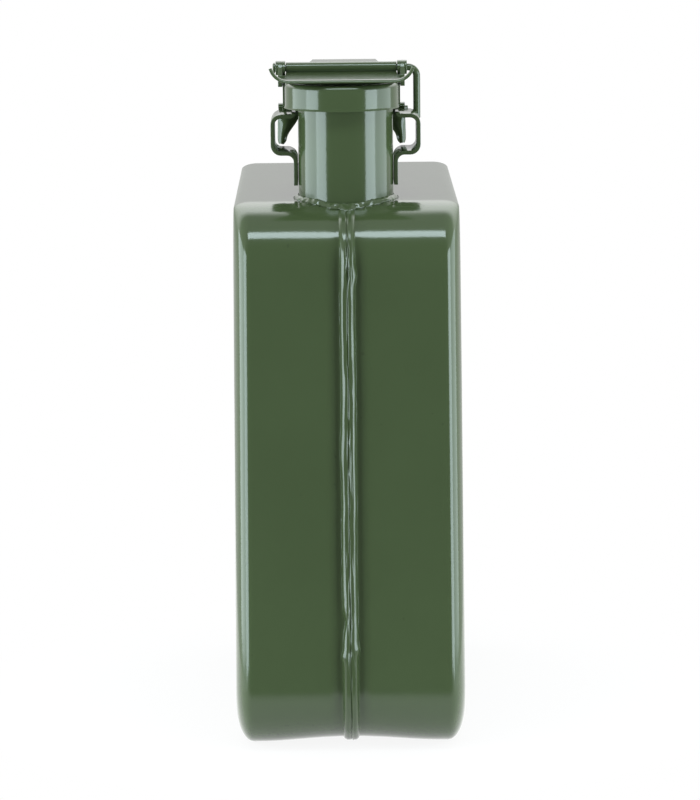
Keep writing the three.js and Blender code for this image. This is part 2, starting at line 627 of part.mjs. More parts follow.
// A link hangs from the rod and hooks round the loop's bead. Its hook is open towards the front
// and below, so that the tab can pass as the cap swings back, and a tongue hangs from its end.
function capLink() {
  const hookBore = BEAD_RADIUS + FIT;
  const hookRadius = hookBore + HOOK_WALL;
  const tabAngle = Math.asin((LOOP_SHEET / 2 + FIT) / hookBore);
  const mouthStart = Math.PI - tabAngle;
  const mouthEnd = Math.PI + THREE.MathUtils.degToRad(CAP_SWING_DEGREES) + tabAngle;
  const far = 3 * hookRadius;
  const mouth = new THREE.Shape([
    new THREE.Vector2(HINGE_Y, HINGE_Z),
    new THREE.Vector2(HINGE_Y + far * Math.cos(mouthStart), HINGE_Z + far * Math.sin(mouthStart)),
    new THREE.Vector2(HINGE_Y - far, HINGE_Z - far),
    new THREE.Vector2(HINGE_Y + far * Math.cos(mouthEnd), HINGE_Z + far * Math.sin(mouthEnd)),
  ]);
  const arm = box(
    new THREE.Vector3(LINK_IN, HINGE_Y - LINK_WIDTH / 2, HINGE_Z),
    new THREE.Vector3(LINK_OUT, HINGE_Y + LINK_WIDTH / 2, ROD_Z));
  const hook = barX(hookRadius, LINK_IN, LINK_OUT, HINGE_Y, HINGE_Z, 2 * SMALL_SIDES);
  const eye = barX(EAR_RADIUS, LINK_IN, LINK_OUT, HINGE_Y, ROD_Z);
  const tongueTop = HINGE_Z - hookRadius / 2;
  const tongueTip = tongueTop - TONGUE_LENGTH;
  const tongueOut = LINK_OUT + TONGUE_OVERHANG;
  const tongue = alongY(new THREE.Shape([
    new THREE.Vector2(tongueOut, tongueTop),
    new THREE.Vector2(tongueOut - TONGUE_TOP_WIDTH, tongueTop),
    new THREE.Vector2(tongueOut - TONGUE_TOP_WIDTH, tongueTop - TONGUE_TIP_WIDTH),
    new THREE.Vector2(tongueOut - TONGUE_TIP_WIDTH, tongueTip),
    new THREE.Vector2(tongueOut, tongueTip),
  ]), HINGE_Y + hookBore, HINGE_Y + hookBore + TONGUE_SHEET);
  return arm.add(hook).add(eye)
    .subtract(alongX(mouth, LINK_IN - OVERCUT, LINK_OUT + OVERCUT))
    .add(tongue)
    .subtract(barX(hookBore, LINK_IN - far, LINK_OUT + far, HINGE_Y, HINGE_Z))
    .subtract(barX(ROD_HOLE, LINK_IN - OVERCUT, LINK_OUT + OVERCUT, HINGE_Y, ROD_Z));
}
const rightLink = capLink();
addPiece(closure, 'right_link', rightLink, PAINT);
addPiece(closure, 'left_link', rightLink.mirror([1, 0, 0]), PAINT);

// A plain washer sits outside each link on the rod.
const washerOut = WASHER_IN + WASHER_SHEET;
const rightWasher = barX(WASHER_RADIUS, WASHER_IN, washerOut, HINGE_Y, ROD_Z)
  .subtract(barX(ROD_HOLE, WASHER_IN - OVERCUT, washerOut + OVERCUT, HINGE_Y, ROD_Z));
addPiece(closure, 'right_washer', rightWasher, PAINT);
addPiece(closure, 'left_washer', rightWasher.mirror([1, 0, 0]), PAINT);

// The lever is a plate rolled round the rod, with its front corners curling up as wings.
function capLever() {
  const frontY = NECK_Y - LEVER_AHEAD;
  const under = LEVER_UNDER_Z + TUBE_WALL / 2;
  const stations = [{ y: HINGE_Y, wing: 0 }];
  for (let step = 0; step <= LEVER_WING_STEPS; step += 1) {
    const ahead = step / LEVER_WING_STEPS;
    stations.push({
      y: frontY + LEVER_WING_LENGTH * (1 - ahead),
      wing: THREE.MathUtils.smoothstep(ahead, 0, 1),
    });
  }
  const rings = stations.map(({ y, wing }) => {
    const half = LEVER_REAR_HALF + (LEVER_FRONT_HALF - LEVER_REAR_HALF) * wing;
    const upper = [];
    const lower = [];
    for (const side of [-1, 1]) {
      for (let column = 0; column <= LEVER_WING_COLUMNS; column += 1) {
        const share = side < 0 ? 1 - column / LEVER_WING_COLUMNS : column / LEVER_WING_COLUMNS;
        const past = (half - LEVER_FLAT_HALF) * share;
        const curl = past / (LEVER_FRONT_HALF - LEVER_FLAT_HALF);
        const x = side * (LEVER_FLAT_HALF + past);
        const z = under + LEVER_WING_RISE * wing * curl ** 2;
        upper.unshift(new THREE.Vector3(x, y, z + LEVER_SHEET));
        lower.push(new THREE.Vector3(x, y, z));
      }
    }
    return [...lower, ...upper];
  });
  return loft(rings, inFront)
    .add(barX(TUBE_RADIUS, -TUBE_HALF, TUBE_HALF, HINGE_Y, ROD_Z))
    .subtract(barX(ROD_HOLE, -TUBE_HALF - OVERCUT, TUBE_HALF + OVERCUT, HINGE_Y, ROD_Z));
}
addPiece(closure, 'lever', capLever(), PAINT);

// The lock wire is the rod itself: peened at its left end and bent down at its right end.
function lockWire() {
  const wireX = WIRE_X - CLOSURE_SHIFT;
  const peenEnd = -washerOut - FIT;
  const elbowX = wireX - WIRE_BEND;
  const elbowZ = ROD_Z - WIRE_BEND;
  const ringAt = (x, z, angle, radius) => {
    const ring = [];
    for (let side = 0; side < SMALL_SIDES; side += 1) {
      const turn = side / SMALL_SIDES * 2 * Math.PI;
      const out = radius * Math.sin(turn);
      ring.push(new THREE.Vector3(
        x + out * Math.sin(angle), HINGE_Y + radius * Math.cos(turn), z + out * Math.cos(angle)));
    }
    return ring;
  };
  const rings = [
    ringAt(peenEnd - PEEN_LENGTH, ROD_Z, 0, PEEN_RADIUS),
    ringAt(peenEnd, ROD_Z, 0, PEEN_RADIUS),
    ringAt(peenEnd, ROD_Z, 0, WIRE_RADIUS),
  ];
  const bends = 2 * BEND_STEPS;
  for (let step = 0; step <= bends; step += 1) {
    const angle = step / bends * Math.PI / 2;
    rings.push(ringAt(
      elbowX + WIRE_BEND * Math.sin(angle), elbowZ + WIRE_BEND * Math.cos(angle), angle, WIRE_RADIUS));
  }
  rings.push(ringAt(wireX, HINGE_Z - WIRE_BELOW_HINGE, Math.PI / 2, WIRE_RADIUS));
  return loft(rings, inSide);
}
addPiece(closure, 'lock_wire', lockWire(), PAINT);

export default can;
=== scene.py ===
import json
from math import copysign, cos, exp, pi, radians, sin, tau

import bmesh
import bpy
from mathutils import Matrix, Vector, noise
from mathutils.geometry import interpolate_bezier


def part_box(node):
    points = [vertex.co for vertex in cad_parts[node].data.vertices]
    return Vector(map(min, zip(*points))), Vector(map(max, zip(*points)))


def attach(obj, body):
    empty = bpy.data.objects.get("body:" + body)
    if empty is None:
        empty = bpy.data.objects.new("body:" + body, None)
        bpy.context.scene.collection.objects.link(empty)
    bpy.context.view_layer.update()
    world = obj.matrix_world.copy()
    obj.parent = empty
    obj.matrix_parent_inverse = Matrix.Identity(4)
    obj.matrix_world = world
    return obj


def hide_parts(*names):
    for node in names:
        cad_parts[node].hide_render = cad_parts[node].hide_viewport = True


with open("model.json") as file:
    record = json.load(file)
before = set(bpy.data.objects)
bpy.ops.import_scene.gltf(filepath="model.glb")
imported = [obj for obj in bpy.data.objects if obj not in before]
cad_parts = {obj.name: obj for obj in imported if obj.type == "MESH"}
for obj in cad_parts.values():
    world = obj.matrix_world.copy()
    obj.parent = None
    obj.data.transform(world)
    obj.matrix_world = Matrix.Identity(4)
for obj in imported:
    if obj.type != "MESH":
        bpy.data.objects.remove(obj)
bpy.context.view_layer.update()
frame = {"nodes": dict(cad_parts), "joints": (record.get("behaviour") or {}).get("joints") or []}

# Camera
# It looks a little down at the narrow spout end from 1.8 m, and leans half a degree.
# The lens is shifted, so the can stands low in the picture with its sides nearly upright.
CAMERA_PLACE = Vector((-0.00668, -1.84672, 0.46208))
CAMERA_PITCH = radians(8.606)
CAMERA_YAW = radians(0.256)
CAMERA_ROLL = radians(-0.515)
CAMERA_LENS = 169.5
CAMERA_SHIFT = -0.08

scene = bpy.context.scene
camera_data = bpy.data.cameras.new("camera")
camera_data.lens = CAMERA_LENS
camera_data.shift_y = CAMERA_SHIFT
camera = bpy.data.objects.new("camera", camera_data)
camera.matrix_world = (
    Matrix.Translation(CAMERA_PLACE)
    @ Matrix.Rotation(-CAMERA_YAW, 4, "Z")
    @ Matrix.Rotation(pi / 2 - CAMERA_PITCH, 4, "X")
    @ Matrix.Rotation(CAMERA_ROLL, 4, "Z")
)
scene.collection.objects.link(camera)
scene.camera = camera
scene.view_settings.view_transform = "Standard"


# Enamel
# The can is dipped and sprayed in olive-green enamel, hard and glossy with a faint orange peel.
# All painted pieces share it, so the finish runs on from one piece to the next.
class Value:
    """A shader socket that can be used in plain sums."""

    def __init__(self, finish, socket):
        self.finish = finish
        self.socket = socket

    def sum(self, operation, first, second):
        return self.finish.node("ShaderNodeMath", {"operation": operation}, {0: first, 1: second})

    def __add__(self, other):
        return self.sum("ADD", self, other)

    def __radd__(self, other):
        return self.sum("ADD", other, self)

    def __sub__(self, other):
        return self.sum("SUBTRACT", self, other)

    def __rsub__(self, other):
        return self.sum("SUBTRACT", other, self)

    def __mul__(self, other):
        return self.sum("MULTIPLY", self, other)

    def __rmul__(self, other):
        return self.sum("MULTIPLY", other, self)


class Finish:
    """A node tree that is filled one node at a time."""

    def __init__(self, owner):
        owner.use_nodes = True
        self.tree = owner.node_tree
        self.tree.nodes.clear()

    def node(self, kind, settings, sockets, output=0):
        made = self.tree.nodes.new(kind)
        for key, value in settings.items():
            if key == "stops":
                for stop, (position, shade) in zip(made.color_ramp.elements, value):
                    stop.position = position
                    stop.color = (shade, shade, shade, 1)
            else:
                setattr(made, key, value)
        for key, value in sockets.items():
            if isinstance(value, Value):
                self.tree.links.new(value.socket, made.inputs[key])
            else:
                made.inputs[key].default_value = value
        return Value(self, made.outputs[output]) if made.outputs else None

    def place(self):
        return self.node("ShaderNodeTexCoord", {}, {}, "Object")

    def noise(self, scale, detail=2.0):
        sockets = {"Vector": self.place(), "Scale": scale, "Detail": detail}
        return self.node("ShaderNodeTexNoise", {}, sockets)

    def ramp(self, value, low, high):
        return self.node("ShaderNodeValToRGB", {"stops": ((low, 0), (high, 1))}, {"Fac": value})

    def blend(self, factor, first, second):
        sockets = {"Factor": factor, 6: first, 7: second}
        return self.node("ShaderNodeMix", {"data_type": "RGBA"}, sockets, 2)

    def bump(self, height, distance):
        return self.node("ShaderNodeBump", {}, {"Height": height, "Distance": distance})

    def shade(self, sockets):
        surface = self.node("ShaderNodeBsdfPrincipled", {}, sockets)
        self.node("ShaderNodeOutputMaterial", {}, {"Surface": surface})


ENAMEL_DARK = (0.042, 0.063, 0.0255, 1)
ENAMEL_LIGHT = (0.049, 0.073, 0.0305, 1)
ENAMEL_SPECK = (0.020, 0.030, 0.014, 1)
ENAMEL_SHINE = (0.94, 1.0, 1.0, 1)
ENAMEL_ROUGHNESS = 0.08
ENAMEL_HAZE = 0.08
ENAMEL_IOR = 1.52
MOTTLE_SCALE = 24.0
SPECK_SCALE = 420.0
SPECK_EDGE = (0.84, 0.87)
SPECK_SHOW = 0.25
SPECK_HEIGHT = 0.8
HAZE_SCALE = 14.0
PEEL_SCALE = 750.0
WAVE_SCALE = 60.0
WAVE_HEIGHT = 6.0
PEEL_DEPTH = 0.000012


def enamel():
    """Olive-green gloss paint: faint mottling, rare dust specks and an orange-peel skin."""
    material = bpy.data.materials.new("green_enamel")
    paint = Finish(material)
    mottle = paint.noise(MOTTLE_SCALE, detail=3.0)
    tone = paint.blend(mottle, ENAMEL_DARK, ENAMEL_LIGHT)
    specks = paint.ramp(paint.noise(SPECK_SCALE, detail=0.0), *SPECK_EDGE)
    colour = paint.blend(specks * SPECK_SHOW, tone, ENAMEL_SPECK)
    gloss = paint.noise(HAZE_SCALE, detail=4.0) * ENAMEL_HAZE + ENAMEL_ROUGHNESS
    peel = paint.noise(PEEL_SCALE, detail=1.0) + specks * SPECK_HEIGHT
    wave = paint.noise(WAVE_SCALE, detail=1.0) * WAVE_HEIGHT
    skin = paint.bump(peel + wave, PEEL_DEPTH)
    paint.shade({
        "Base Color": colour,
        "Roughness": gloss,
        "Normal": skin,
        "IOR": ENAMEL_IOR,
        "Specular Tint": ENAMEL_SHINE,
    })
    return material


green_enamel = enamel()


# Body shells
# Two deep-drawn halves of 1 mm steel sheet, each with a plain cross pressed into its side panel.
# They are butted and welded along a raised lip that runs right round the can.
MM = 0.001
_, shell_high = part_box("right_shell")
TOP_Z = shell_high.z
SEAM_PROUD = 1.6 * MM
FACE_Y = shell_high.y - SEAM_PROUD
BODY_CORNER = 31 * MM
SHEET = 1 * MM
EDGE_ACROSS = 8 * MM
EDGE_ALONG = 18 * MM
TOP_EDGE_ALONG = 3 * MM
BODY_FLARE = 1.75 * MM
BODY_HALF = shell_high.x - BODY_FLARE * (1 - EDGE_ALONG / TOP_Z)
SEAM_HALF = 3.5 * MM
CROWN_START = 0.3 * MM
CROWN_PEAK = 1.2 * MM
CROWN_END = 2.2 * MM
CROWN_RADIUS = 1.5 * MM
CROWN_LEAN = radians(33)
CROWN_STEPS = 9
LIP_WALL = radians(84)
LIP_STEPS = 8
STREAK_DEPTH = 0.4 * MM
STREAK_ACROSS = 1500
STREAK_ALONG = 60
STREAK_SEED = 5
RIPPLE_DEPTH = 0.18 * MM
RIPPLE_SCALE = 140
RIPPLE_SEED = 3
WANDER_SLOW = 0.45 * MM
WANDER_SLOW_SCALE = 26
WANDER_FAST = 0.22 * MM
WANDER_FAST_SCALE = 95
LUMP_HALF = 1.6 * MM
OPENING_REACH = SEAM_HALF * 0.6
SEAM_CRACK = 0.05 * MM
SEAM_GROUND_GAP = 0.3 * MM
VALLEY_DEPTH = 1.6 * MM
FOOT_VALLEY_DEPTH = 2.0 * MM
FOOT_SLOPE = 38 * MM
VALLEY_FLOOR = 3.9 * MM
VALLEY_END = 10 * MM
VALLEY_STEPS = 9
VALLEY_FADE = 0.7
VALLEY_FADE_START = 0.1
VALLEY_FADE_RUN = 0.5
FRONT_FACING = -0.9
CORNER_STEPS = 24
RUN_STEP = 1.8 * MM
WALL_STEPS = 14
EDGE_STEPS = 9
PANEL_STEPS = 42
CROSS_DEPTH = 2.2 * MM
CROSS_HALF = 7 * MM
CROSS_SLOPE = 4.5 * MM
CROSS_REACH = Vector((75 * MM, 80 * MM))
CROSS_CENTRE_Z = 131 * MM
NECK_HOLE = 23.6 * MM
HOLE_TRIM = 2.5 * MM
SHARP_ANGLE = radians(40)

# The joint's inner corner: distance from the middle and fall below the crown.
SEAM_ROOT = ((-0.8 * MM, 1.0 * MM), (SEAM_CRACK, 0.6 * MM), (SEAM_CRACK * 2, 0.4 * MM))
# The foot of the lip: distance from the middle and share of its fall into the valley.
LIP_FOOT = ((SEAM_HALF + 0.1 * MM, 0.8), (SEAM_HALF + 0.2 * MM, 0.97))

# Where the front weld strays: side, height, half length and how far the lip moves out.
SEAM_LUMPS = (
    (1, 0.2285, 0.0035, 0.9 * MM),
    (-1, 0.0640, 0.0040, -1.1 * MM),
    (1, 0.0505, 0.0020, 0.8 * MM),
    (-1, 0.0475, 0.0022, 0.7 * MM),
    (-1, 0.1460, 0.0100, 0.4 * MM),
)
# Where the weld has not closed the front of the seam: height, half length and half width.
SEAM_OPENINGS = (
    (0.2395, 0.0036, 0.5 * MM),
    (0.2300, 0.0044, 0.8 * MM),
    (0.0640, 0.0045, 0.4 * MM),
    (0.0500, 0.0030, 0.4 * MM),
)


def smooth_step(value):
    value = min(max(value, 0.0), 1.0)
    return value * value * (3 - 2 * value)


def bell(distance, half_length):
    return exp(-(distance / half_length) ** 2)


def seam_wander(point):
    """How far the welded joint runs off the middle."""
    slow = WANDER_SLOW * noise.noise(point * WANDER_SLOW_SCALE)
    return slow + WANDER_FAST * noise.noise(point * WANDER_FAST_SCALE)


def cross_depth(y, z):
    """How deep the side panel is pressed in at a point."""
    height = z - CROSS_CENTRE_Z
    along = CROSS_REACH.normalized()
    nearest = CROSS_SLOPE + CROSS_HALF
    for lean in (1, -1):
        run = y * along.x * lean + height * along.y
        past = max(abs(run) - CROSS_REACH.length, 0.0)
        off = abs(y * along.y - height * along.x * lean)
        nearest = min(nearest, (off ** 2 + past ** 2) ** 0.5)
    return CROSS_DEPTH * (1 - smooth_step((nearest - CROSS_HALF) / CROSS_SLOPE))


def foot_inset(x):
    """How far the underside is drawn in beside the seam."""
    return FOOT_VALLEY_DEPTH * (1 - smooth_step((x - VALLEY_FLOOR) / FOOT_SLOPE))


def seam_stations():
    """The pressed lip and its valley, from the joint to the flat wall: x, face, foot and top inset."""
    height = SEAM_PROUD + VALLEY_DEPTH
    section = list(SEAM_ROOT)
    for step in range(CROWN_STEPS + 1):
        x = CROWN_START + (CROWN_END - CROWN_START) * step / CROWN_STEPS
        section.append((x, (x - CROWN_PEAK) ** 2 / CROWN_RADIUS / 2))
    start_x, start_fall = section[-1]
    lip_round = (SEAM_HALF - start_x) / (sin(LIP_WALL) - sin(CROWN_LEAN))
    for step in range(1, LIP_STEPS + 1):
        turn = CROWN_LEAN + (LIP_WALL - CROWN_LEAN) * step / LIP_STEPS
        x = start_x + lip_round * (sin(turn) - sin(CROWN_LEAN))
        section.append((x, start_fall + lip_round * (cos(CROWN_LEAN) - cos(turn))))
    section += [(x, height * share) for x, share in LIP_FOOT]
    for x, fall in section:
        share = fall / height
        foot = SEAM_GROUND_GAP + (FOOT_VALLEY_DEPTH - SEAM_GROUND_GAP) * share
        yield x, fall - SEAM_PROUD, foot, VALLEY_DEPTH * share
    for step in range(VALLEY_STEPS + 1):
        along = step / VALLEY_STEPS
        left = 1 - smooth_step(along)
        x = VALLEY_FLOOR + (VALLEY_END - VALLEY_FLOOR) * along
        yield x, VALLEY_DEPTH * left, foot_inset(x), VALLEY_DEPTH * left


def wall_stations():
    """The flat wall and its rounded lateral edge."""
    start = VALLEY_END + MM
    end = BODY_HALF - EDGE_ACROSS
    for step in range(WALL_STEPS):
        x = start + (end - start) * step / WALL_STEPS
        yield x, 0, foot_inset(x), 0
    for step in range(EDGE_STEPS + 1):
        turn = step / EDGE_STEPS * pi / 2
        draw = 1 - cos(turn)
        x = end + EDGE_ACROSS * sin(turn)
        yield x, EDGE_ALONG * draw, EDGE_ALONG * draw, TOP_EDGE_ALONG * draw


def next_ring(bm, ring):
    """Pulls a new ring of edges out of the last one."""
    pulled = bmesh.ops.extrude_edge_only(bm, edges=ring)["geom"]
    verts = [item for item in pulled if isinstance(item, bmesh.types.BMVert)]
    fresh = set(verts)
    edges = [item for item in pulled if isinstance(item, bmesh.types.BMEdge)]
    return verts, [edge for edge in edges if fresh.issuperset(edge.verts)]


def body_ring(bm, corner, outward):
    """The outline of the can seen from the side, with each point's corner centre and direction."""
    circle = bmesh.ops.create_circle(bm, segments=4 * CORNER_STEPS, radius=BODY_CORNER)["verts"]
    half_step = Matrix.Rotation(pi / (4 * CORNER_STEPS), 3, "Z")
    upright = Matrix.Rotation(pi / 2, 3, "Y") @ half_step
    bmesh.ops.rotate(bm, verts=circle, cent=(0, 0, 0), matrix=upright)
    run = Vector((0, FACE_Y - BODY_CORNER, TOP_Z / 2 - BODY_CORNER))
    for vert in circle:
        vert.co.y += copysign(run.y, vert.co.y)
        vert.co.z += copysign(run.z, vert.co.z) + TOP_Z / 2
    for length in (run.y, run.z):
        straight = [edge for edge in bm.edges if abs(edge.calc_length() - 2 * length) < BODY_CORNER / 8]
        bmesh.ops.subdivide_edges(bm, edges=straight, cuts=int(2 * length / RUN_STEP))
    for vert in bm.verts:
        y = min(max(vert.co.y, -run.y), run.y)
        z = min(max(vert.co.z, BODY_CORNER), TOP_Z - BODY_CORNER)
        vert[corner] = Vector((0, y, z))
        vert[outward] = (vert.co - vert[corner]).normalized()
    return list(bm.verts), list(bm.edges)


def flare(z):
    """How much wider than at its top the can is at a height."""
    return 1 + BODY_FLARE / BODY_HALF * (1 - z / TOP_Z)


def front_weld_drift(point, side, x):
    """How far the lumps and the open cracks of the front weld push a lip aside."""
    drift = 0.0
    lip = bell(x - SEAM_HALF, LUMP_HALF)
    for lump_side, height, half_length, amount in SEAM_LUMPS:
        if lump_side == side:
            drift += side * amount * lip * bell(point.z - height, half_length)
    crack = 1 - smooth_step(x / OPENING_REACH)
    for height, half_length, amount in SEAM_OPENINGS:
        drift += side * amount * crack * max(0.0, 1 - ((point.z - height) / half_length) ** 2)
    return drift


def shell_point(centre, out, side, x, face, foot, top):
    """A point of the outline at a given x, drawn in from the full size."""
    if x < VALLEY_END:
        shallow = 1 - VALLEY_FADE * smooth_step((out.z - VALLEY_FADE_START) / VALLEY_FADE_RUN)
        face = min(face, 0) + max(face, 0) * shallow
        top *= shallow
    inset = top if out.z > 0 else foot
    point = centre + Vector((0, out.y * (BODY_CORNER - face), out.z * (BODY_CORNER - inset)))
    near_seam = 1 - smooth_step((x - SEAM_HALF) / (VALLEY_FLOOR - SEAM_HALF))
    drift = seam_wander(point) * near_seam
    if out.y < FRONT_FACING:
        drift += front_weld_drift(point, side, x)
    ripple = noise.noise(point * RIPPLE_SCALE + Vector((side * RIPPLE_SEED, 0, 0)))
    point += out * RIPPLE_DEPTH * near_seam * ripple
    if x < SEAM_HALF:
        along = (point.y + point.z) * STREAK_ALONG
        streak = noise.noise(Vector((x * STREAK_ACROSS, side * STREAK_SEED, along)))
        point += out * STREAK_DEPTH * (1 - smooth_step(x / SEAM_HALF)) * streak
    point.x = side * x * flare(point.z) + drift
    return point


def place_piece(bm, name, body, material, slot, *nodes):
    """Turns a finished bmesh into a smooth piece that rides on a body."""
    mesh = bpy.data.meshes.new(name)
    bm.to_mesh(mesh)
    bm.free()
    mesh.shade_smooth()
    mesh.set_sharp_from_angle(angle=SHARP_ANGLE)
    mesh.materials.append(material)
    piece = bpy.data.objects.new(name, mesh)
    scene.collection.objects.link(piece)
    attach(piece, body)
    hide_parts(*nodes)
    return piece


neck_low, neck_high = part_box("neck")
NECK_AXIS = Vector((0, (neck_low.y + neck_high.y) / 2, 0))


def cut_neck_hole(bm):
    """Opens the top round the neck and trims the hole to a circle."""
    def reach(point):
        return Vector((point.x, point.y - NECK_AXIS.y)).length

    inside = [face for face in bm.faces if face.calc_center_median().z > TOP_Z - BODY_CORNER / 2
              and reach(face.calc_center_median()) < NECK_HOLE]
    bmesh.ops.delete(bm, geom=inside, context="FACES")
    for vert in bm.verts:
        if vert.is_boundary and vert.co.z > TOP_Z - BODY_CORNER / 2:
            near = reach(vert.co)
            if abs(near - NECK_HOLE) < HOLE_TRIM:
                vert.co.x *= NECK_HOLE / near
                vert.co.y = NECK_AXIS.y + (vert.co.y - NECK_AXIS.y) * NECK_HOLE / near


def body_shell(side, name, node):
    """One half, pulled out from the seam to the edge and closed over the side panel."""
    bm = bmesh.new()
    corner = bm.verts.layers.float_vector.new("corner")
    outward = bm.verts.layers.float_vector.new("outward")
    verts, ring = body_ring(bm, corner, outward)
    stations = [*seam_stations(), *wall_stations()]
    for vert in verts:
        vert.co = shell_point(vert[corner], vert[outward], side, *stations[0])
    for station in stations[1:]:
        verts, ring = next_ring(bm, ring)
        for vert in verts:
            vert.co = shell_point(vert[corner], vert[outward], side, *station)
    middle_z = (TOP_Z + EDGE_ALONG - TOP_EDGE_ALONG) / 2
    edge = stations[-1]
    for step in range(1, PANEL_STEPS):
        verts, ring = next_ring(bm, ring)
        share = 1 - step / PANEL_STEPS
        for vert in verts:
            point = shell_point(vert[corner], vert[outward], side, *edge)
            point.y *= share
            point.z = middle_z + (point.z - middle_z) * share
            point.x = side * (BODY_HALF * flare(point.z) - cross_depth(point.y, point.z))
            vert.co = point
    verts, ring = next_ring(bm, ring)
    pole_x = side * (BODY_HALF + BODY_FLARE / 2 - CROSS_DEPTH)
    bmesh.ops.pointmerge(bm, verts=verts, merge_co=(pole_x, 0, middle_z))
    cut_neck_hole(bm)
    bmesh.ops.recalc_face_normals(bm, faces=bm.faces)
    shell = place_piece(bm, name, "can", green_enamel, "green_paint", node)
    wall = shell.modifiers.new("sheet", "SOLIDIFY")
    wall.thickness = SHEET
    wall.offset = -1
    return shell


body_shell(1, "right_half_shell", "right_shell")
body_shell(-1, "left_half_shell", "left_shell")


# Filler neck
# A short steel tube of 45 mm with a small lip rolled at its mouth, standing in the hole of the top.
# The cap's rubber seals on the lip.
NECK_RADIUS = 22.4 * MM
NECK_WALL = 1.5 * MM
NECK_LIP = 0.9 * MM
NECK_LIP_HEIGHT = 3 * MM
TURN_STEPS = 96
ARC_PULL = 0.5523
ARC_POINTS = 8
MERGE_GAP = MM / 1000
SOFT_ANGLE = radians(30)


def arc(start, corner, end, points=ARC_POINTS):
    """A quarter-round from start to end that turns at the corner."""
    leave = start.lerp(corner, ARC_PULL)
    arrive = end.lerp(corner, ARC_PULL)
    return interpolate_bezier(start, leave, arrive, end, points)


def at(radius, z):
    """A point of a turned profile."""
    return Vector((radius, 0, z))


def turned(profile, centre, steps=TURN_STEPS, axis="Z"):
    """A closed profile turned about an axis through the centre."""
    bm = bmesh.new()
    verts = [bm.verts.new(point) for point in profile]
    for first, second in zip(verts, verts[1:] + verts[:1]):
        if first.co.x > 0 or second.co.x > 0:
            bm.edges.new((first, second))
    geometry = list(bm.verts) + list(bm.edges)
    bmesh.ops.spin(
        bm, geom=geometry, cent=(0, 0, 0), axis=(0, 0, 1), angle=tau, steps=steps, use_merge=True)
    bmesh.ops.remove_doubles(bm, verts=bm.verts, dist=MERGE_GAP)
    bmesh.ops.recalc_face_normals(bm, faces=bm.faces)
    if axis == "X":
        bmesh.ops.rotate(bm, verts=bm.verts, cent=(0, 0, 0), matrix=Matrix.Rotation(pi / 2, 3, "Y"))
    bmesh.ops.translate(bm, verts=bm.verts, vec=centre)
    return bm


def soften(bm, width, angle=SOFT_ANGLE, segments=3):
    """Rounds every edge that is sharper than an angle."""
    sharp = [edge for edge in bm.edges if edge.is_manifold and edge.calc_face_angle() > angle]
    bmesh.ops.bevel(
        bm, geom=sharp, offset=width, segments=segments, profile=0.5, affect="EDGES", material=-1,
        clamp_overlap=True)


neck_in = NECK_RADIUS - NECK_WALL
lip_out = NECK_RADIUS + NECK_LIP
lip_z = neck_high.z - NECK_LIP_HEIGHT
neck_tube = turned([
    at(neck_in, neck_low.z),
    at(NECK_RADIUS, neck_low.z),
    at(NECK_RADIUS, lip_z),
    *arc(at(NECK_RADIUS, lip_z), at(lip_out, lip_z + NECK_LIP / 2),
         at(lip_out, lip_z + NECK_LIP * 1.5))[1:],
    *arc(at(lip_out, neck_high.z - NECK_LIP), at(lip_out, neck_high.z), at(NECK_RADIUS, neck_high.z)),
    *arc(at(NECK_RADIUS - NECK_WALL / 3, neck_high.z), at(neck_in, neck_high.z),
         at(neck_in, neck_high.z - NECK_WALL)),
], NECK_AXIS)
place_piece(neck_tube, "filler_neck", "can", green_enamel, "green_paint", "neck")


# Neck weld
# A hand-run fillet of weld closes the ring between the neck and the top.
# It is thin and ropey, heaped where it meets the seam, and was painted over as it cooled.
WELD_OUT = 24.4 * MM
WELD_IN = 22.3 * MM
WELD_RISE = 1.7 * MM
WELD_SINK = 1.6 * MM
WELD_RIPPLE = 0.38 * MM
WELD_TOE = 0.3 * MM
WELD_SIDE = 0.4 * MM
WELD_ROUND = 0.5 * MM
WELD_HEAP = 2.6 * MM
WELD_HEAP_MEAN = 0.6
WELD_HEAP_ANGLE = radians(24)
WELD_HEAP_SCALE = 210
WELD_HEAP_LIFT = 0.25
WELD_TURN_STEPS = 260
FINE_GRAIN = 420
COARSE_GRAIN = 150


def shoulder_drop(y):
    """How far the rounded end of the top has fallen below its flat."""
    past = max(0.0, abs(y) - (FACE_Y - BODY_CORNER))
    return BODY_CORNER - (BODY_CORNER ** 2 - past ** 2) ** 0.5


def roughen(bm, centre, depth):
    """Pushes a weld bead in and out along its normals."""
    bm.normal_update()
    moves = []
    for vert in bm.verts:
        seed = vert.co - centre
        push = noise.noise(seed * FINE_GRAIN) + noise.noise(seed * COARSE_GRAIN)
        moves.append(vert.normal * depth * push)
    for vert, move in zip(bm.verts, moves):
        vert.co += move


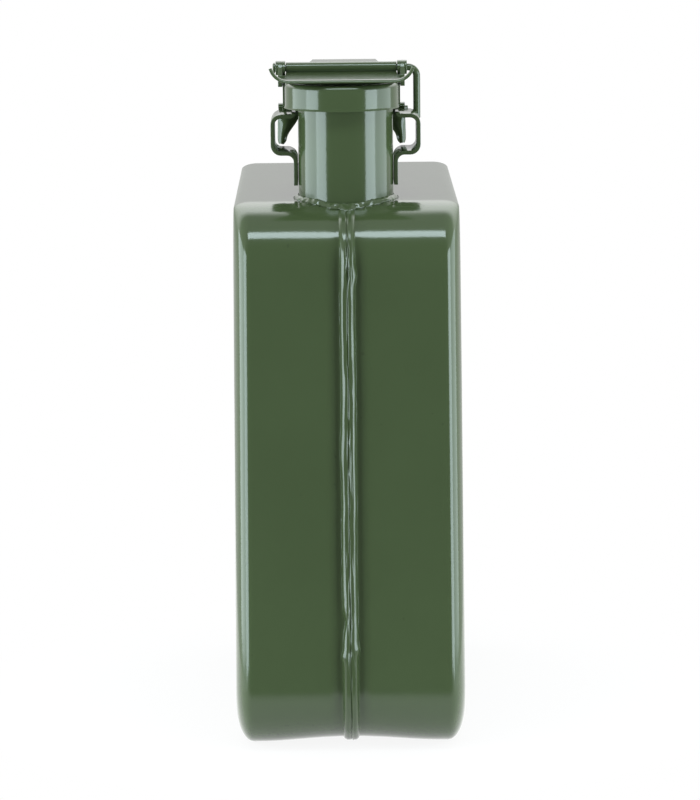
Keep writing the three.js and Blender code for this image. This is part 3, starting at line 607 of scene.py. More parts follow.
def neck_fillet():
    """The bead follows the shoulder down and spreads out in front, beside the seam."""
    bm = turned([
        at(WELD_IN, TOP_Z - WELD_SINK),
        at(WELD_OUT - WELD_TOE, TOP_Z - WELD_SINK),
        at(WELD_OUT, TOP_Z - WELD_SIDE),
        *arc(at(WELD_OUT, TOP_Z), at(WELD_OUT - WELD_ROUND, TOP_Z + WELD_RISE * 0.6),
             at(WELD_IN + WELD_ROUND, TOP_Z + WELD_RISE)),
        at(WELD_IN, TOP_Z + WELD_RISE * 0.8),
    ], NECK_AXIS, WELD_TURN_STEPS)
    for vert in bm.verts:
        spoke = vert.co - NECK_AXIS
        off_front = abs(Vector((spoke.x, -spoke.y)).angle_signed(Vector((0, 1))))
        uneven = WELD_HEAP_MEAN + noise.noise(spoke * WELD_HEAP_SCALE)
        heap = WELD_HEAP * bell(off_front, WELD_HEAP_ANGLE) * uneven
        share = max(0.0, (Vector((spoke.x, spoke.y)).length - WELD_IN) / (WELD_OUT - WELD_IN))
        outward = Vector((spoke.x, spoke.y, 0)).normalized()
        vert.co += outward * heap * share
        vert.co.z += heap * WELD_HEAP_LIFT * share - shoulder_drop(vert.co.y)
    roughen(bm, NECK_AXIS, WELD_RIPPLE)
    return bm


place_piece(neck_fillet(), "neck_fillet_weld", "can", green_enamel, "green_paint", "neck_weld")


# Breather tube
# A thin zinc-plated pipe down the back of the neck lets air in while the can pours.
# It bends rearward under the top.
BREATHER_RADIUS = 4 * MM
BREATHER_WALL = 0.8 * MM
BREATHER_BEND = 10 * MM
BREATHER_SIDES = 24
BREATHER_BEND_STEPS = 10
ZINC_LIGHT = (0.52, 0.53, 0.52, 1)
ZINC_DARK = (0.33, 0.34, 0.33, 1)
ZINC_ROUGHNESS = 0.25
ZINC_CLOUDING = 0.25
CLOUD_SCALE = 160.0
ZINC_GRAIN_SCALE = 900.0
ZINC_GRAIN_DEPTH = 0.00001


def zinc_plate():
    """Dull zinc plating with a faint cloudy grain."""
    material = bpy.data.materials.new("zinc_plate")
    plate = Finish(material)
    cloud = plate.noise(CLOUD_SCALE, detail=4.0)
    plate.shade({
        "Base Color": plate.blend(cloud, ZINC_DARK, ZINC_LIGHT),
        "Metallic": 1.0,
        "Roughness": cloud * ZINC_CLOUDING + ZINC_ROUGHNESS,
        "Normal": plate.bump(plate.noise(ZINC_GRAIN_SCALE), ZINC_GRAIN_DEPTH),
    })
    return material


zinc = zinc_plate()
vent_low, vent_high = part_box("vent_tube")


def breather_tube():
    """The middle skin of the pipe, pulled down from its mouth, bent and pulled rearward."""
    bm = bmesh.new()
    start = Vector((0, vent_low.y + BREATHER_RADIUS, vent_high.z))
    bmesh.ops.create_circle(bm, segments=BREATHER_SIDES, radius=BREATHER_RADIUS - BREATHER_WALL / 2)
    bmesh.ops.translate(bm, verts=bm.verts, vec=start)
    ring = list(bm.edges)
    knee_z = vent_low.z + BREATHER_RADIUS + BREATHER_BEND
    verts, ring = next_ring(bm, ring)
    bmesh.ops.translate(bm, verts=verts, vec=(0, 0, knee_z - start.z))
    bend = bmesh.ops.spin(
        bm, geom=verts + ring, cent=(0, start.y + BREATHER_BEND, knee_z), axis=(1, 0, 0),
        angle=pi / 2, steps=BREATHER_BEND_STEPS)["geom_last"]
    verts, ring = next_ring(bm, [item for item in bend if isinstance(item, bmesh.types.BMEdge)])
    bmesh.ops.translate(bm, verts=verts, vec=(0, vent_high.y - start.y - BREATHER_BEND, 0))
    bmesh.ops.recalc_face_normals(bm, faces=bm.faces)
    return bm


breather = place_piece(breather_tube(), "breather_tube", "can", zinc, "zinc_steel", "vent_tube")
breather_wall = breather.modifiers.new("wall", "SOLIDIFY")
breather_wall.thickness = BREATHER_WALL
breather_wall.offset = 0


# Strap loops
# One bent steel strap is welded to each side of the neck by its foot: shelf, outer wall, top flange.
# A tab behind the top flange carries the round bead that the cap hangs on.
LOOP_SHEET = 1.9 * MM
LOOP_BEND = 4 * MM
LOOP_CURL = 1.6 * MM
LOOP_LENGTH = 27.8 * MM
LOOP_LEG = 14.2 * MM
LOOP_WELD_GAP = 0.3 * MM
TAB_IN = 24.5 * MM
TAB_OUT = 30.1 * MM
BEAD_RADIUS = 2 * MM
BEAD_SIDES = 32
CUT_EDGE = 0.45 * MM
CUT_EDGE_ANGLE = radians(50)
loop_low, loop_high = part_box("right_loop")
pivots = {joint["name"]: Vector(joint["pos_m"]) for joint in frame["joints"]}
hinge = pivots["cap_swing"]


def bent(corners, bend):
    """A path through corner points whose corners are rounded."""
    path = [corners[0]]
    for before, corner, after in zip(corners, corners[1:], corners[2:]):
        start = corner + (before - corner).normalized() * bend
        end = corner + (after - corner).normalized() * bend
        path += arc(start, corner, end)
    return path + [corners[-1]]


def strap(path, width):
    """A bent strip: a path pulled sideways to its width."""
    bm = bmesh.new()
    verts = [bm.verts.new(point) for point in path]
    edges = [bm.edges.new(pair) for pair in zip(verts, verts[1:])]
    pulled, _ = next_ring(bm, edges)
    bmesh.ops.translate(bm, verts=pulled, vec=width)
    bmesh.ops.recalc_face_normals(bm, faces=bm.faces)
    return bm


def add_sheet(piece, thickness, edge):
    """Gives a strip its thickness and breaks its cut edges."""
    sheet = piece.modifiers.new("sheet", "SOLIDIFY")
    sheet.thickness = thickness
    sheet.offset = 0
    sheet.use_even_offset = True
    trim = piece.modifiers.new("cut_edges", "BEVEL")
    trim.width = edge
    trim.segments = 3
    trim.limit_method = "ANGLE"
    trim.angle_limit = CUT_EDGE_ANGLE


def strap_loop(side):
    """The strap seen from the front, from its foot on the neck to the curl of its top flange."""
    leg_x = NECK_RADIUS + LOOP_WELD_GAP + LOOP_SHEET / 2
    out_x = loop_high.x - LOOP_SHEET / 2
    shelf_z = loop_low.z + LOOP_LEG + LOOP_SHEET / 2
    curl_x = leg_x + LOOP_CURL / 2
    path = bent([
        Vector((leg_x, 0, loop_low.z)),
        Vector((leg_x, 0, shelf_z)),
        Vector((out_x, 0, shelf_z)),
        Vector((out_x, 0, hinge.z)),
        Vector((curl_x + LOOP_CURL, 0, hinge.z)),
    ], LOOP_BEND)
    flange_end = path.pop()
    path += arc(flange_end, Vector((curl_x, 0, hinge.z)), Vector((curl_x, 0, hinge.z + LOOP_CURL)))
    points = [Vector((side * point.x, loop_low.y, point.z)) for point in path]
    return strap(points, (0, LOOP_LENGTH, 0))


def loop_bead(low_x, high_x):
    """The tab behind the flange and the round bead at its end."""
    bm = bmesh.new()
    rear = loop_low.y + LOOP_LENGTH
    tab = bmesh.ops.create_cube(bm, size=1)["verts"]
    bmesh.ops.scale(bm, verts=tab, vec=(high_x - low_x - MM, hinge.y - rear + MM, LOOP_SHEET))
    bmesh.ops.translate(bm, verts=tab, vec=((low_x + high_x) / 2, (hinge.y + rear - MM) / 2, hinge.z))
    bead = bmesh.ops.create_cone(
        bm, cap_ends=True, segments=BEAD_SIDES, radius1=BEAD_RADIUS, radius2=BEAD_RADIUS,
        depth=high_x - low_x)["verts"]
    bmesh.ops.rotate(bm, verts=bead, cent=(0, 0, 0), matrix=Matrix.Rotation(pi / 2, 3, "Y"))
    bmesh.ops.translate(bm, verts=bead, vec=((low_x + high_x) / 2, hinge.y, hinge.z))
    soften(bm, CUT_EDGE)
    return bm


for side, name in ((1, "right"), (-1, "left")):
    loop = place_piece(
        strap_loop(side), name + "_strap_loop", "can", green_enamel, "green_paint", name + "_loop")
    add_sheet(loop, LOOP_SHEET, CUT_EDGE)
    ends = sorted((side * TAB_IN, side * TAB_OUT))
    place_piece(loop_bead(*ends), name + "_loop_bead", "can", green_enamel, "green_paint")


# Carrying handle
# A steel strap bent into an arch and pressed into a channel, so that its edges turn down.
# Its two feet lie flat on the top behind the neck and are welded there.
HANDLE_SHEET = 1.5 * MM
HANDLE_LEAN = 6 * MM
HANDLE_CORNER = 16 * MM
HANDLE_FLANGE = 8 * MM
HANDLE_FOOT = 12 * MM
HANDLE_FOOT_BEND = 3 * MM
HANDLE_FOOT_GAP = 0.3 * MM
HANDLE_FLANGE_START = 3 * MM
HANDLE_FLANGE_RUN = 9 * MM
HANDLE_EDGE_ROUND = 1.2 * MM
HANDLE_ROW_STEP = 4 * MM
HANDLE_BEND_POINTS = 12
HANDLE_COLUMNS = 28
handle_low, handle_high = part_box("handle")


def handle_path():
    """The middle line of the strap from the front toe to the rear toe."""
    half = HANDLE_SHEET / 2
    low = TOP_Z + HANDLE_FOOT_GAP + half
    high = handle_high.z - half
    front = handle_low.y + HANDLE_FOOT
    rear = handle_high.y - HANDLE_FOOT
    knees = [Vector((0, front, low)), Vector((0, front + HANDLE_LEAN, high))]
    knees += [Vector((0, rear - HANDLE_LEAN, high)), Vector((0, rear, low))]
    path = [Vector((0, handle_low.y, low))]
    ends = [path[0], *knees, Vector((0, handle_high.y, low))]
    bends = (HANDLE_FOOT_BEND, HANDLE_CORNER, HANDLE_CORNER, HANDLE_FOOT_BEND)
    for before, corner, after, bend in zip(ends, ends[1:], ends[2:], bends):
        start = corner + (before - corner).normalized() * bend
        end = corner + (after - corner).normalized() * bend
        steps = max(2, int((start - path[-1]).length / HANDLE_ROW_STEP))
        path += [path[-1].lerp(start, step / steps) for step in range(1, steps)]
        path += arc(start, corner, end, HANDLE_BEND_POINTS)
    return path + [ends[-1]]


def channel_section(turned_down):
    """Half of the channel's section: how far out and how far down each column lies."""
    width = (handle_high.x - handle_low.x) / 2
    flat = width - HANDLE_EDGE_ROUND
    reach = flat + HANDLE_EDGE_ROUND * (1 + (pi / 2 - 1) * turned_down)
    reach += (HANDLE_FLANGE - HANDLE_EDGE_ROUND) * turned_down
    step = reach / (HANDLE_COLUMNS / 2)
    out, down = 0.0, 0.0
    section = [(out, down)]
    for column in range(HANDLE_COLUMNS // 2):
        turn = smooth_step(((column + 0.5) * step - flat) / (HANDLE_EDGE_ROUND * pi / 2))
        angle = turn * turned_down * pi / 2
        out += cos(angle) * step
        down += sin(angle) * step
        section.append((out, down))
    return section


def channel_handle():
    """A flat grid laid along the path, its columns folded down where the flanges stand."""
    path = handle_path()
    rows = len(path) - 1
    bm = bmesh.new()
    bmesh.ops.create_grid(bm, x_segments=HANDLE_COLUMNS, y_segments=rows, size=0.5)
    for vert in bm.verts:
        row = round((vert.co.y + 0.5) * rows)
        column = round(vert.co.x * HANDLE_COLUMNS)
        point = path[row]
        along = (path[min(row + 1, rows)] - path[max(row - 1, 0)]).normalized()
        inward = Vector((0, along.z, -along.y))
        turned_down = smooth_step((point.z - TOP_Z - HANDLE_FLANGE_START) / HANDLE_FLANGE_RUN)
        out, down = channel_section(turned_down)[abs(column)]
        vert.co = point + inward * down + Vector((copysign(out, column) if column else 0, 0, 0))
    bmesh.ops.recalc_face_normals(bm, faces=bm.faces)
    return bm


handle = place_piece(channel_handle(), "carrying_handle", "can", green_enamel, "green_paint", "handle")
add_sheet(handle, HANDLE_SHEET, CUT_EDGE)


# Handle welds
# A short bead of weld holds the toe of each handle foot to the top.
# It is run by hand across the strap and painted over with the can.
TOE_WELD_RADIUS = 1.5 * MM
TOE_WELD_STEP = 1 * MM
TOE_WELD_RISE = 0.6 * MM
TOE_WELD_RIPPLE = 0.25 * MM
TOE_WELD_SIDES = 16
ROD_SIDES = 24


def pull(bm, face, move, scale=1.0):
    """Pulls a face on by one step and scales its new end."""
    end = bmesh.ops.extrude_discrete_faces(bm, faces=[face])["faces"][0]
    bmesh.ops.translate(bm, verts=end.verts, vec=move)
    centre = end.calc_center_median()
    bmesh.ops.scale(bm, verts=end.verts, vec=(scale, scale, scale), space=Matrix.Translation(-centre))
    return end


def end_disc(bm, radius, place, sides=ROD_SIDES):
    """A round face square to X that a rod is pulled out of."""
    verts = bmesh.ops.create_circle(bm, segments=sides, radius=radius, cap_ends=True)["verts"]
    bmesh.ops.rotate(bm, verts=verts, cent=(0, 0, 0), matrix=Matrix.Rotation(pi / 2, 3, "Y"))
    bmesh.ops.translate(bm, verts=verts, vec=place)
    return verts[0].link_faces[0]


def toe_weld(low, high):
    """A bead pulled across the toe, blunt at both ends."""
    bm = bmesh.new()
    middle = Vector((low.x + MM, (low.y + high.y) / 2, TOP_Z + TOE_WELD_RISE))
    face = end_disc(bm, TOE_WELD_RADIUS * 0.5, middle, TOE_WELD_SIDES)
    steps = int((high.x - low.x - 2 * MM) / TOE_WELD_STEP)
    face = pull(bm, face, (TOE_WELD_STEP / 2, 0, 0), 2.0)
    for _ in range(steps - 1):
        face = pull(bm, face, (TOE_WELD_STEP, 0, 0))
    pull(bm, face, (TOE_WELD_STEP / 2, 0, 0), 0.5)
    bmesh.ops.recalc_face_normals(bm, faces=bm.faces)
    roughen(bm, middle, TOE_WELD_RIPPLE)
    return bm


for name in ("front", "rear"):
    node = name + "_handle_weld"
    place_piece(toe_weld(*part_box(node)), name + "_toe_weld", "can", green_enamel, "green_paint", node)


# Cap
# A pressed steel cup with a dished top and a rim that flares a little.
# It is painted with the can and closes over the neck.
CAP_SHEET = 1 * MM
CAP_ROUND = 2.5 * MM
CAP_FLARE = 0.4 * MM
CAP_DISH_RADIUS = 20 * MM
CAP_DISH_DEPTH = 1.5 * MM
CAP_BEND_POINTS = 5
CAP_ROUND_POINTS = 10
RIVET_HOLE = 2.3 * MM
cap_low, cap_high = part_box("cap")
CAP_AXIS = Vector(((cap_low.x + cap_high.x) / 2, (cap_low.y + cap_high.y) / 2, 0))
cap_radius = (cap_high.x - cap_low.x) / 2 - CAP_FLARE
dish_z = cap_high.z - CAP_DISH_DEPTH
dish_rim = CAP_DISH_RADIUS + CAP_DISH_DEPTH


def cap_skin(inset):
    """One skin of the cup, from the rivet hole to the rim."""
    radius = cap_radius - inset
    top = cap_high.z - inset
    dish = dish_z - inset
    shift = inset / 2
    return [
        at(RIVET_HOLE, dish),
        *arc(at(CAP_DISH_RADIUS - MM + shift, dish), at(CAP_DISH_RADIUS + shift, dish),
             at((CAP_DISH_RADIUS + dish_rim) / 2 + shift, (dish + top) / 2), CAP_BEND_POINTS),
        *arc(at((CAP_DISH_RADIUS + dish_rim) / 2 + shift, (dish + top) / 2), at(dish_rim + shift, top),
             at(dish_rim + MM + shift, top), CAP_BEND_POINTS)[1:],
        *arc(at(cap_radius - CAP_ROUND, top), at(radius, top), at(radius, cap_high.z - CAP_ROUND),
             CAP_ROUND_POINTS),
        at(radius, cap_low.z + CAP_ROUND),
        *arc(at(radius, cap_low.z + CAP_ROUND * 0.6), at(radius, cap_low.z + CAP_ROUND * 0.3),
             at(radius + CAP_FLARE, cap_low.z), CAP_BEND_POINTS),
    ]


cap_cup = turned(cap_skin(0) + cap_skin(CAP_SHEET)[::-1], CAP_AXIS)
place_piece(cap_cup, "cap_cup", "cap_set", green_enamel, "green_paint", "cap")


# Gasket, clamp plate and rivet
# A black rubber disc inside the cap seals on the neck. A thin zinc-plated plate clamps it.
# One rivet holds them, the cap and the bridge together.
RUBBER_DARK = (0.010, 0.010, 0.010, 1)
RUBBER_LIGHT = (0.026, 0.026, 0.025, 1)
RUBBER_ROUGHNESS = 0.55
RUBBER_DUST = 0.2
DUST_SCALE = 220.0
RUBBER_GRAIN_SCALE = 1400.0
RUBBER_GRAIN_DEPTH = 0.00003
GASKET_BORE = 4 * MM
GASKET_EDGE = 0.5 * MM
DISC_EDGE = 0.25 * MM
RIVET_RADIUS = 2 * MM
RIVET_HEAD_HEIGHT = 0.7 * MM


def black_rubber():
    """Moulded rubber with a dusty grain."""
    material = bpy.data.materials.new("black_rubber")
    rubber = Finish(material)
    dust = rubber.noise(DUST_SCALE, detail=5.0)
    rubber.shade({
        "Base Color": rubber.blend(dust, RUBBER_DARK, RUBBER_LIGHT),
        "Roughness": dust * RUBBER_DUST + RUBBER_ROUGHNESS,
        "Normal": rubber.bump(rubber.noise(RUBBER_GRAIN_SCALE), RUBBER_GRAIN_DEPTH),
    })
    return material


def washer_profile(bore, radius, low, high):
    """The section of a flat ring on one side of its axis."""
    return [at(bore, low), at(radius, low), at(radius, high), at(bore, high)]


gasket_low, gasket_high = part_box("gasket")
gasket_radius = (gasket_high.x - gasket_low.x) / 2
gasket = turned(washer_profile(GASKET_BORE, gasket_radius, gasket_low.z, gasket_high.z), CAP_AXIS)
soften(gasket, GASKET_EDGE)
place_piece(gasket, "gasket_disc", "cap_set", black_rubber(), "black_rubber", "gasket")

clamp_low, clamp_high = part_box("gasket_retainer")
clamp_radius = (clamp_high.x - clamp_low.x) / 2
clamp = turned(washer_profile(RIVET_HOLE, clamp_radius, clamp_low.z, clamp_high.z), CAP_AXIS)
soften(clamp, DISC_EDGE)
place_piece(clamp, "gasket_clamp", "cap_set", zinc, "zinc_steel", "gasket_retainer")

rivet_low, rivet_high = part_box("cap_rivet")
rivet_head = (rivet_high.x - rivet_low.x) / 2
rivet = turned([
    at(0, rivet_low.z),
    at(rivet_head - RIVET_HEAD_HEIGHT, rivet_low.z),
    at(rivet_head, rivet_low.z + RIVET_HEAD_HEIGHT),
    at(RIVET_RADIUS, rivet_low.z + RIVET_HEAD_HEIGHT),
    at(RIVET_RADIUS, rivet_high.z - RIVET_HEAD_HEIGHT),
    at(rivet_head, rivet_high.z - RIVET_HEAD_HEIGHT),
    *arc(at(rivet_head, rivet_high.z - RIVET_HEAD_HEIGHT / 2), at(rivet_head * 0.9, rivet_high.z),
         at(rivet_head / 2, rivet_high.z)),
    at(0, rivet_high.z),
], CAP_AXIS)
place_piece(rivet, "cap_rivet_pin", "cap_set", green_enamel, "green_paint", "cap_rivet")


# Bridge
# A plate stamped from steel sheet that lies in the cap's dish, held by the rivet.
# Its two ears are folded up and carry the rod that all the closure hangs on.
STAMPED_EDGE = 0.2 * MM
STAMPED_SEGMENTS = 2
FLAT_ANGLE = radians(1)
EYE_BORE = 2.4 * MM
EYE_RADIUS = 4.2 * MM
EYE_REACH = EYE_RADIUS * 1.05
EYE_TOP = 3.4 * MM
EAR_IN = 28.4 * MM
EAR_OUT = 30 * MM
EAR_SLACK = 0.1 * MM
EAR_GROWTH = 0.26 * MM
closure_x = CAP_AXIS.x
rod = pivots["lever_lift"]


def stamped(node):
    """A copy of a plain stamping, merged."""
    bm = bmesh.new()
    bm.from_mesh(frame["nodes"][node].data)
    bmesh.ops.remove_doubles(bm, verts=bm.verts, dist=MERGE_GAP)
    bmesh.ops.dissolve_limit(bm, angle_limit=FLAT_ANGLE, verts=bm.verts, edges=bm.edges)
    return bm


def trim_eye(bm):
    """Trims the round top of an eye, so that it stands only a little above the lever's tube."""
    for vert in bm.verts:
        spoke = Vector((0, vert.co.y - rod.y, vert.co.z - rod.z))
        if EYE_BORE < spoke.length < EYE_REACH:
            share = smooth_step((spoke.z + MM) / (2 * MM))
            vert.co += spoke * share * (EYE_TOP / EYE_RADIUS - 1)


def close_ears(bm):
    """Lets the ears meet the links inside them and the washers outside them."""
    for vert in bm.verts:
        out = abs(vert.co.x - closure_x)
        if out > EAR_IN - EAR_SLACK:
            outward = copysign(EAR_GROWTH, vert.co.x - closure_x)
            vert.co.x += outward if out > (EAR_IN + EAR_OUT) / 2 else -outward


bridge = stamped("cap_bridge")
trim_eye(bridge)
close_ears(bridge)
soften(bridge, STAMPED_EDGE, SHARP_ANGLE, STAMPED_SEGMENTS)
place_piece(bridge, "bridge_plate", "cap_set", green_enamel, "green_paint", "cap_bridge")


# Links
# A flat steel link hangs from each end of the rod and hooks round the bead of its strap loop.
# Its lower end is a wide strip, rolled over the bead and drawn out into a hanging tongue.
LINK_IN = 26.8 * MM
LINK_OUT = 28.1 * MM
HOOK_RADIUS = 4.5 * MM
TONGUE_SHEET = 1.2 * MM
TONGUE_ROLL = 2.95 * MM
TONGUE_ROLL_TURN = radians(145)
TONGUE_OUT = 30.3 * MM
TONGUE_ROLL_WIDTH = 8 * MM
TONGUE_TOP_WIDTH = 10 * MM
TONGUE_TIP_WIDTH = 3.4 * MM
TONGUE_LENGTH = 16.2 * MM
TONGUE_BULGE = 2.2 * MM
TAPER_START = 0.08
TAPER_RUN = 0.8
TIP_START = 0.84
TIP_NARROWING = 0.62
TIP_LEAN = 0.6 * MM
HOLLOW_RATE = 2.2
HOLLOW_FADE = 1 / 3
CUT_SLACK = 0.05 * MM
TONGUE_ROLL_STEPS = 14
TONGUE_STEPS = 30
TONGUE_COLUMNS = 14


def hook_link(side, node):
    """The flat part of a link: its arm, eye and hook, cut free of the tongue."""
    bm = stamped(node)
    outer = (closure_x + side * (LINK_OUT + CUT_SLACK), 0, 0)
    inner = (closure_x + side * (LINK_IN - CUT_SLACK), 0, 0)
    foot = (0, 0, hinge.z - HOOK_RADIUS)
    for place, away in ((outer, (side, 0, 0)), (inner, (-side, 0, 0)), (foot, (0, 0, -1))):
        geometry = [*bm.verts, *bm.edges, *bm.faces]
        bmesh.ops.bisect_plane(
            bm, geom=geometry, dist=CUT_SLACK / 10, plane_co=place, plane_no=away, clear_outer=True)
    bmesh.ops.holes_fill(bm, edges=[edge for edge in bm.edges if edge.is_boundary])
    bmesh.ops.recalc_face_normals(bm, faces=bm.faces)
    return bm


def tip_round(fall):
    """How far the rounding of the tongue's tip has come at a share of its length."""
    return max(0.0, (fall - TIP_START) / (1 - TIP_START)) ** 2


def tongue_width(fall):
    """How wide the strip is at a share of its length below the bead."""
    taper = smooth_step((fall - TAPER_START) / TAPER_RUN)
    width = TONGUE_TOP_WIDTH + (TONGUE_TIP_WIDTH - TONGUE_TOP_WIDTH) * taper
    return width * (1 - tip_round(fall) * TIP_NARROWING)


def hook_tongue(side):
    """The rolled strip and its tongue, which is hollow at the back like a spoon."""
    rows = TONGUE_ROLL_STEPS + TONGUE_STEPS
    bm = bmesh.new()
    bmesh.ops.create_grid(bm, x_segments=TONGUE_COLUMNS, y_segments=rows, size=0.5)
    for vert in bm.verts:
        across = vert.co.x
        row = round((0.5 - vert.co.y) * rows)
        if row < TONGUE_ROLL_STEPS:
            turn = TONGUE_ROLL_TURN * (1 - row / TONGUE_ROLL_STEPS)
            y = TONGUE_ROLL * cos(turn)
            z = TONGUE_ROLL * sin(turn)
            blend = smooth_step((row / TONGUE_ROLL_STEPS - 0.5) * 2)
            width = TONGUE_ROLL_WIDTH + (TONGUE_TOP_WIDTH - TONGUE_ROLL_WIDTH) * blend
            middle = TONGUE_OUT - width / 2
        else:
            fall = (row - TONGUE_ROLL_STEPS) / TONGUE_STEPS
            hollow = smooth_step(fall * HOLLOW_RATE) * (1 - fall * HOLLOW_FADE)
            y = TONGUE_ROLL - TONGUE_BULGE * (1 - 4 * across ** 2) * hollow
            z = -TONGUE_LENGTH * fall
            width = tongue_width(fall)
            middle = TONGUE_OUT - width / 2 - tip_round(fall) * TIP_LEAN
        x = closure_x + side * (middle + width * across)
        vert.co = (x, hinge.y + y, hinge.z + z)
    bmesh.ops.recalc_face_normals(bm, faces=bm.faces)
    return bm


for side, name in ((1, "right"), (-1, "left")):
    link = hook_link(side, name + "_link")
    trim_eye(link)
    soften(link, STAMPED_EDGE, SHARP_ANGLE, STAMPED_SEGMENTS)
    place_piece(link, name + "_hook_link", "cap_set", green_enamel, "green_paint", name + "_link")
    tongue = place_piece(
        hook_tongue(side), name + "_hook_tongue", "cap_set", green_enamel, "green_paint")
    add_sheet(tongue, TONGUE_SHEET, CUT_EDGE)


# Washers
# A small plain washer sits on the rod outside each ear of the bridge.
# It is punched from steel and keeps the rod's ends from rubbing through the ears.
ROD_HOLE = 2 * MM
for name in ("right", "left"):
    low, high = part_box(name + "_washer")
    thick = high.x - low.x + EAR_GROWTH
    ring = turned(
        washer_profile(ROD_HOLE, (high.z - low.z) / 2, -thick / 2, thick / 2),
        Vector(((low.x + high.x) / 2, rod.y, rod.z)), axis="X")
    soften(ring, DISC_EDGE)
    place_piece(ring, name + "_rod_washer", "cap_set", green_enamel, "green_paint", name + "_washer")


# Lever
# One steel plate that lies over the cap. Its rear edge is rolled into a tube round the rod.
# Its front corners curl up as wings for the thumbs, and its front edge is turned over.
LEVER_SHEET = 1 * MM
LEVER_EDGE = 0.3 * MM
LEVER_AHEAD = 54.5 * MM
LEVER_FRONT_RISE = 0.4 * MM
LEVER_REAR_HALF = 26.5 * MM
LEVER_FLAT_HALF = 24.9 * MM
WING_RADIUS = 8.3 * MM
WING_TURN = radians(75)
WING_LENGTH = 18 * MM
LEAST_WING = 0.001
TURNED_RADIUS = 1 * MM
TURNED_ANGLE = radians(90)
TURNED_STEPS = 6
ROLL_RADIUS = 2.3 * MM
ROLL_TURN = radians(325)
ROLL_STEPS = 36
PLATE_STEPS = 36
LEVER_COLUMNS = 80


def lever_row(across, ahead):
    """A point of the plate in front of the rod, with the angle at which the wing stands there."""
    wing = smooth_step((ahead - LEVER_AHEAD + WING_LENGTH) / WING_LENGTH)
    front_half = LEVER_FLAT_HALF + WING_RADIUS * WING_TURN
    reach = abs(across) * (LEVER_REAR_HALF + (front_half - LEVER_REAR_HALF) * wing)
    curl = max(0.0, reach - LEVER_FLAT_HALF)
    bend = max(wing, LEAST_WING) / WING_RADIUS
    turn = curl * bend
    x = min(reach, LEVER_FLAT_HALF) + sin(turn) / bend
    z = rod.z - ROLL_RADIUS + LEVER_FRONT_RISE * ahead / LEVER_AHEAD + (1 - cos(turn)) / bend
    return Vector((closure_x + copysign(x, across), rod.y - ahead, z)), copysign(turn, across)


def lever_plate():
    """A flat grid whose rows make the tube, the plate and the turned front edge."""
    rows = ROLL_STEPS + PLATE_STEPS + TURNED_STEPS
    bm = bmesh.new()
    bmesh.ops.create_grid(bm, x_segments=LEVER_COLUMNS, y_segments=rows, size=0.5)
    for vert in bm.verts:
        across = 2 * vert.co.x
        row = round((0.5 - vert.co.y) * rows) - ROLL_STEPS
        if row < 0:
            turn = -ROLL_TURN * row / ROLL_STEPS - pi / 2
            y = rod.y + ROLL_RADIUS * cos(turn)
            z = rod.z + ROLL_RADIUS * sin(turn)
            vert.co = (closure_x + across * LEVER_REAR_HALF, y, z)
            continue
        point, lean = lever_row(across, LEVER_AHEAD * min(row / PLATE_STEPS, 1))
        turn = TURNED_ANGLE * max(0, row - PLATE_STEPS) / TURNED_STEPS
        under = Vector((sin(lean), 0, -cos(lean)))
        vert.co = point + TURNED_RADIUS * (Vector((0, -sin(turn), 0)) + under * (1 - cos(turn)))
    bmesh.ops.recalc_face_normals(bm, faces=bm.faces)
    return bm


lever = place_piece(lever_plate(), "lever_plate", "lever", green_enamel, "green_paint", "lever")
add_sheet(lever, LEVER_SHEET, LEVER_EDGE)


# Lock wire
# One steel rod is the hinge pin of the lever and the links. Its left end is peened over.
# Its right end is bent down beside the loop, where it locks the closed lever.
WIRE_RADIUS = 1.7 * MM
WIRE_BEND = 4.2 * MM
PEEN_RADIUS = 2.6 * MM
PEEN_LENGTH = 1.2 * MM
WIRE_TIP = 0.6 * MM
WIRE_BEND_STEPS = 14
END_TAPER = 0.7
wire_low, wire_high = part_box("lock_wire")


def lock_wire():
    """The rod pulled from its peened end to the elbow, bent, and pulled down to its tip."""
    bm = bmesh.new()
    face = end_disc(bm, PEEN_RADIUS * END_TAPER, Vector((wire_low.x, rod.y, rod.z)))
    face = pull(bm, face, (PEEN_LENGTH / 3, 0, 0), 1 / END_TAPER)
    face = pull(bm, face, (PEEN_LENGTH / 2, 0, 0))
    face = pull(bm, face, (PEEN_LENGTH / 6, 0, 0), WIRE_RADIUS / PEEN_RADIUS)
    elbow_x = wire_high.x - WIRE_RADIUS - WIRE_BEND
    face = pull(bm, face, (elbow_x - face.calc_center_median().x, 0, 0))
    geometry = [face, *face.edges, *face.verts]
    bent_end = bmesh.ops.spin(
        bm, geom=geometry, cent=(elbow_x, rod.y, rod.z - WIRE_BEND), axis=(0, 1, 0), angle=pi / 2,
        steps=WIRE_BEND_STEPS)["geom_last"]
    face = next(item for item in bent_end if isinstance(item, bmesh.types.BMFace))
    drop = face.calc_center_median().z - wire_low.z - WIRE_TIP
    face = pull(bm, face, (0, 0, -drop))
    pull(bm, face, (0, 0, -WIRE_TIP), END_TAPER)
    bmesh.ops.remove_doubles(bm, verts=bm.verts, dist=MERGE_GAP)
    bmesh.ops.recalc_face_normals(bm, faces=bm.faces)
    return bm


place_piece(lock_wire(), "lock_wire_rod", "lock_wire", green_enamel, "green_paint", "lock_wire")


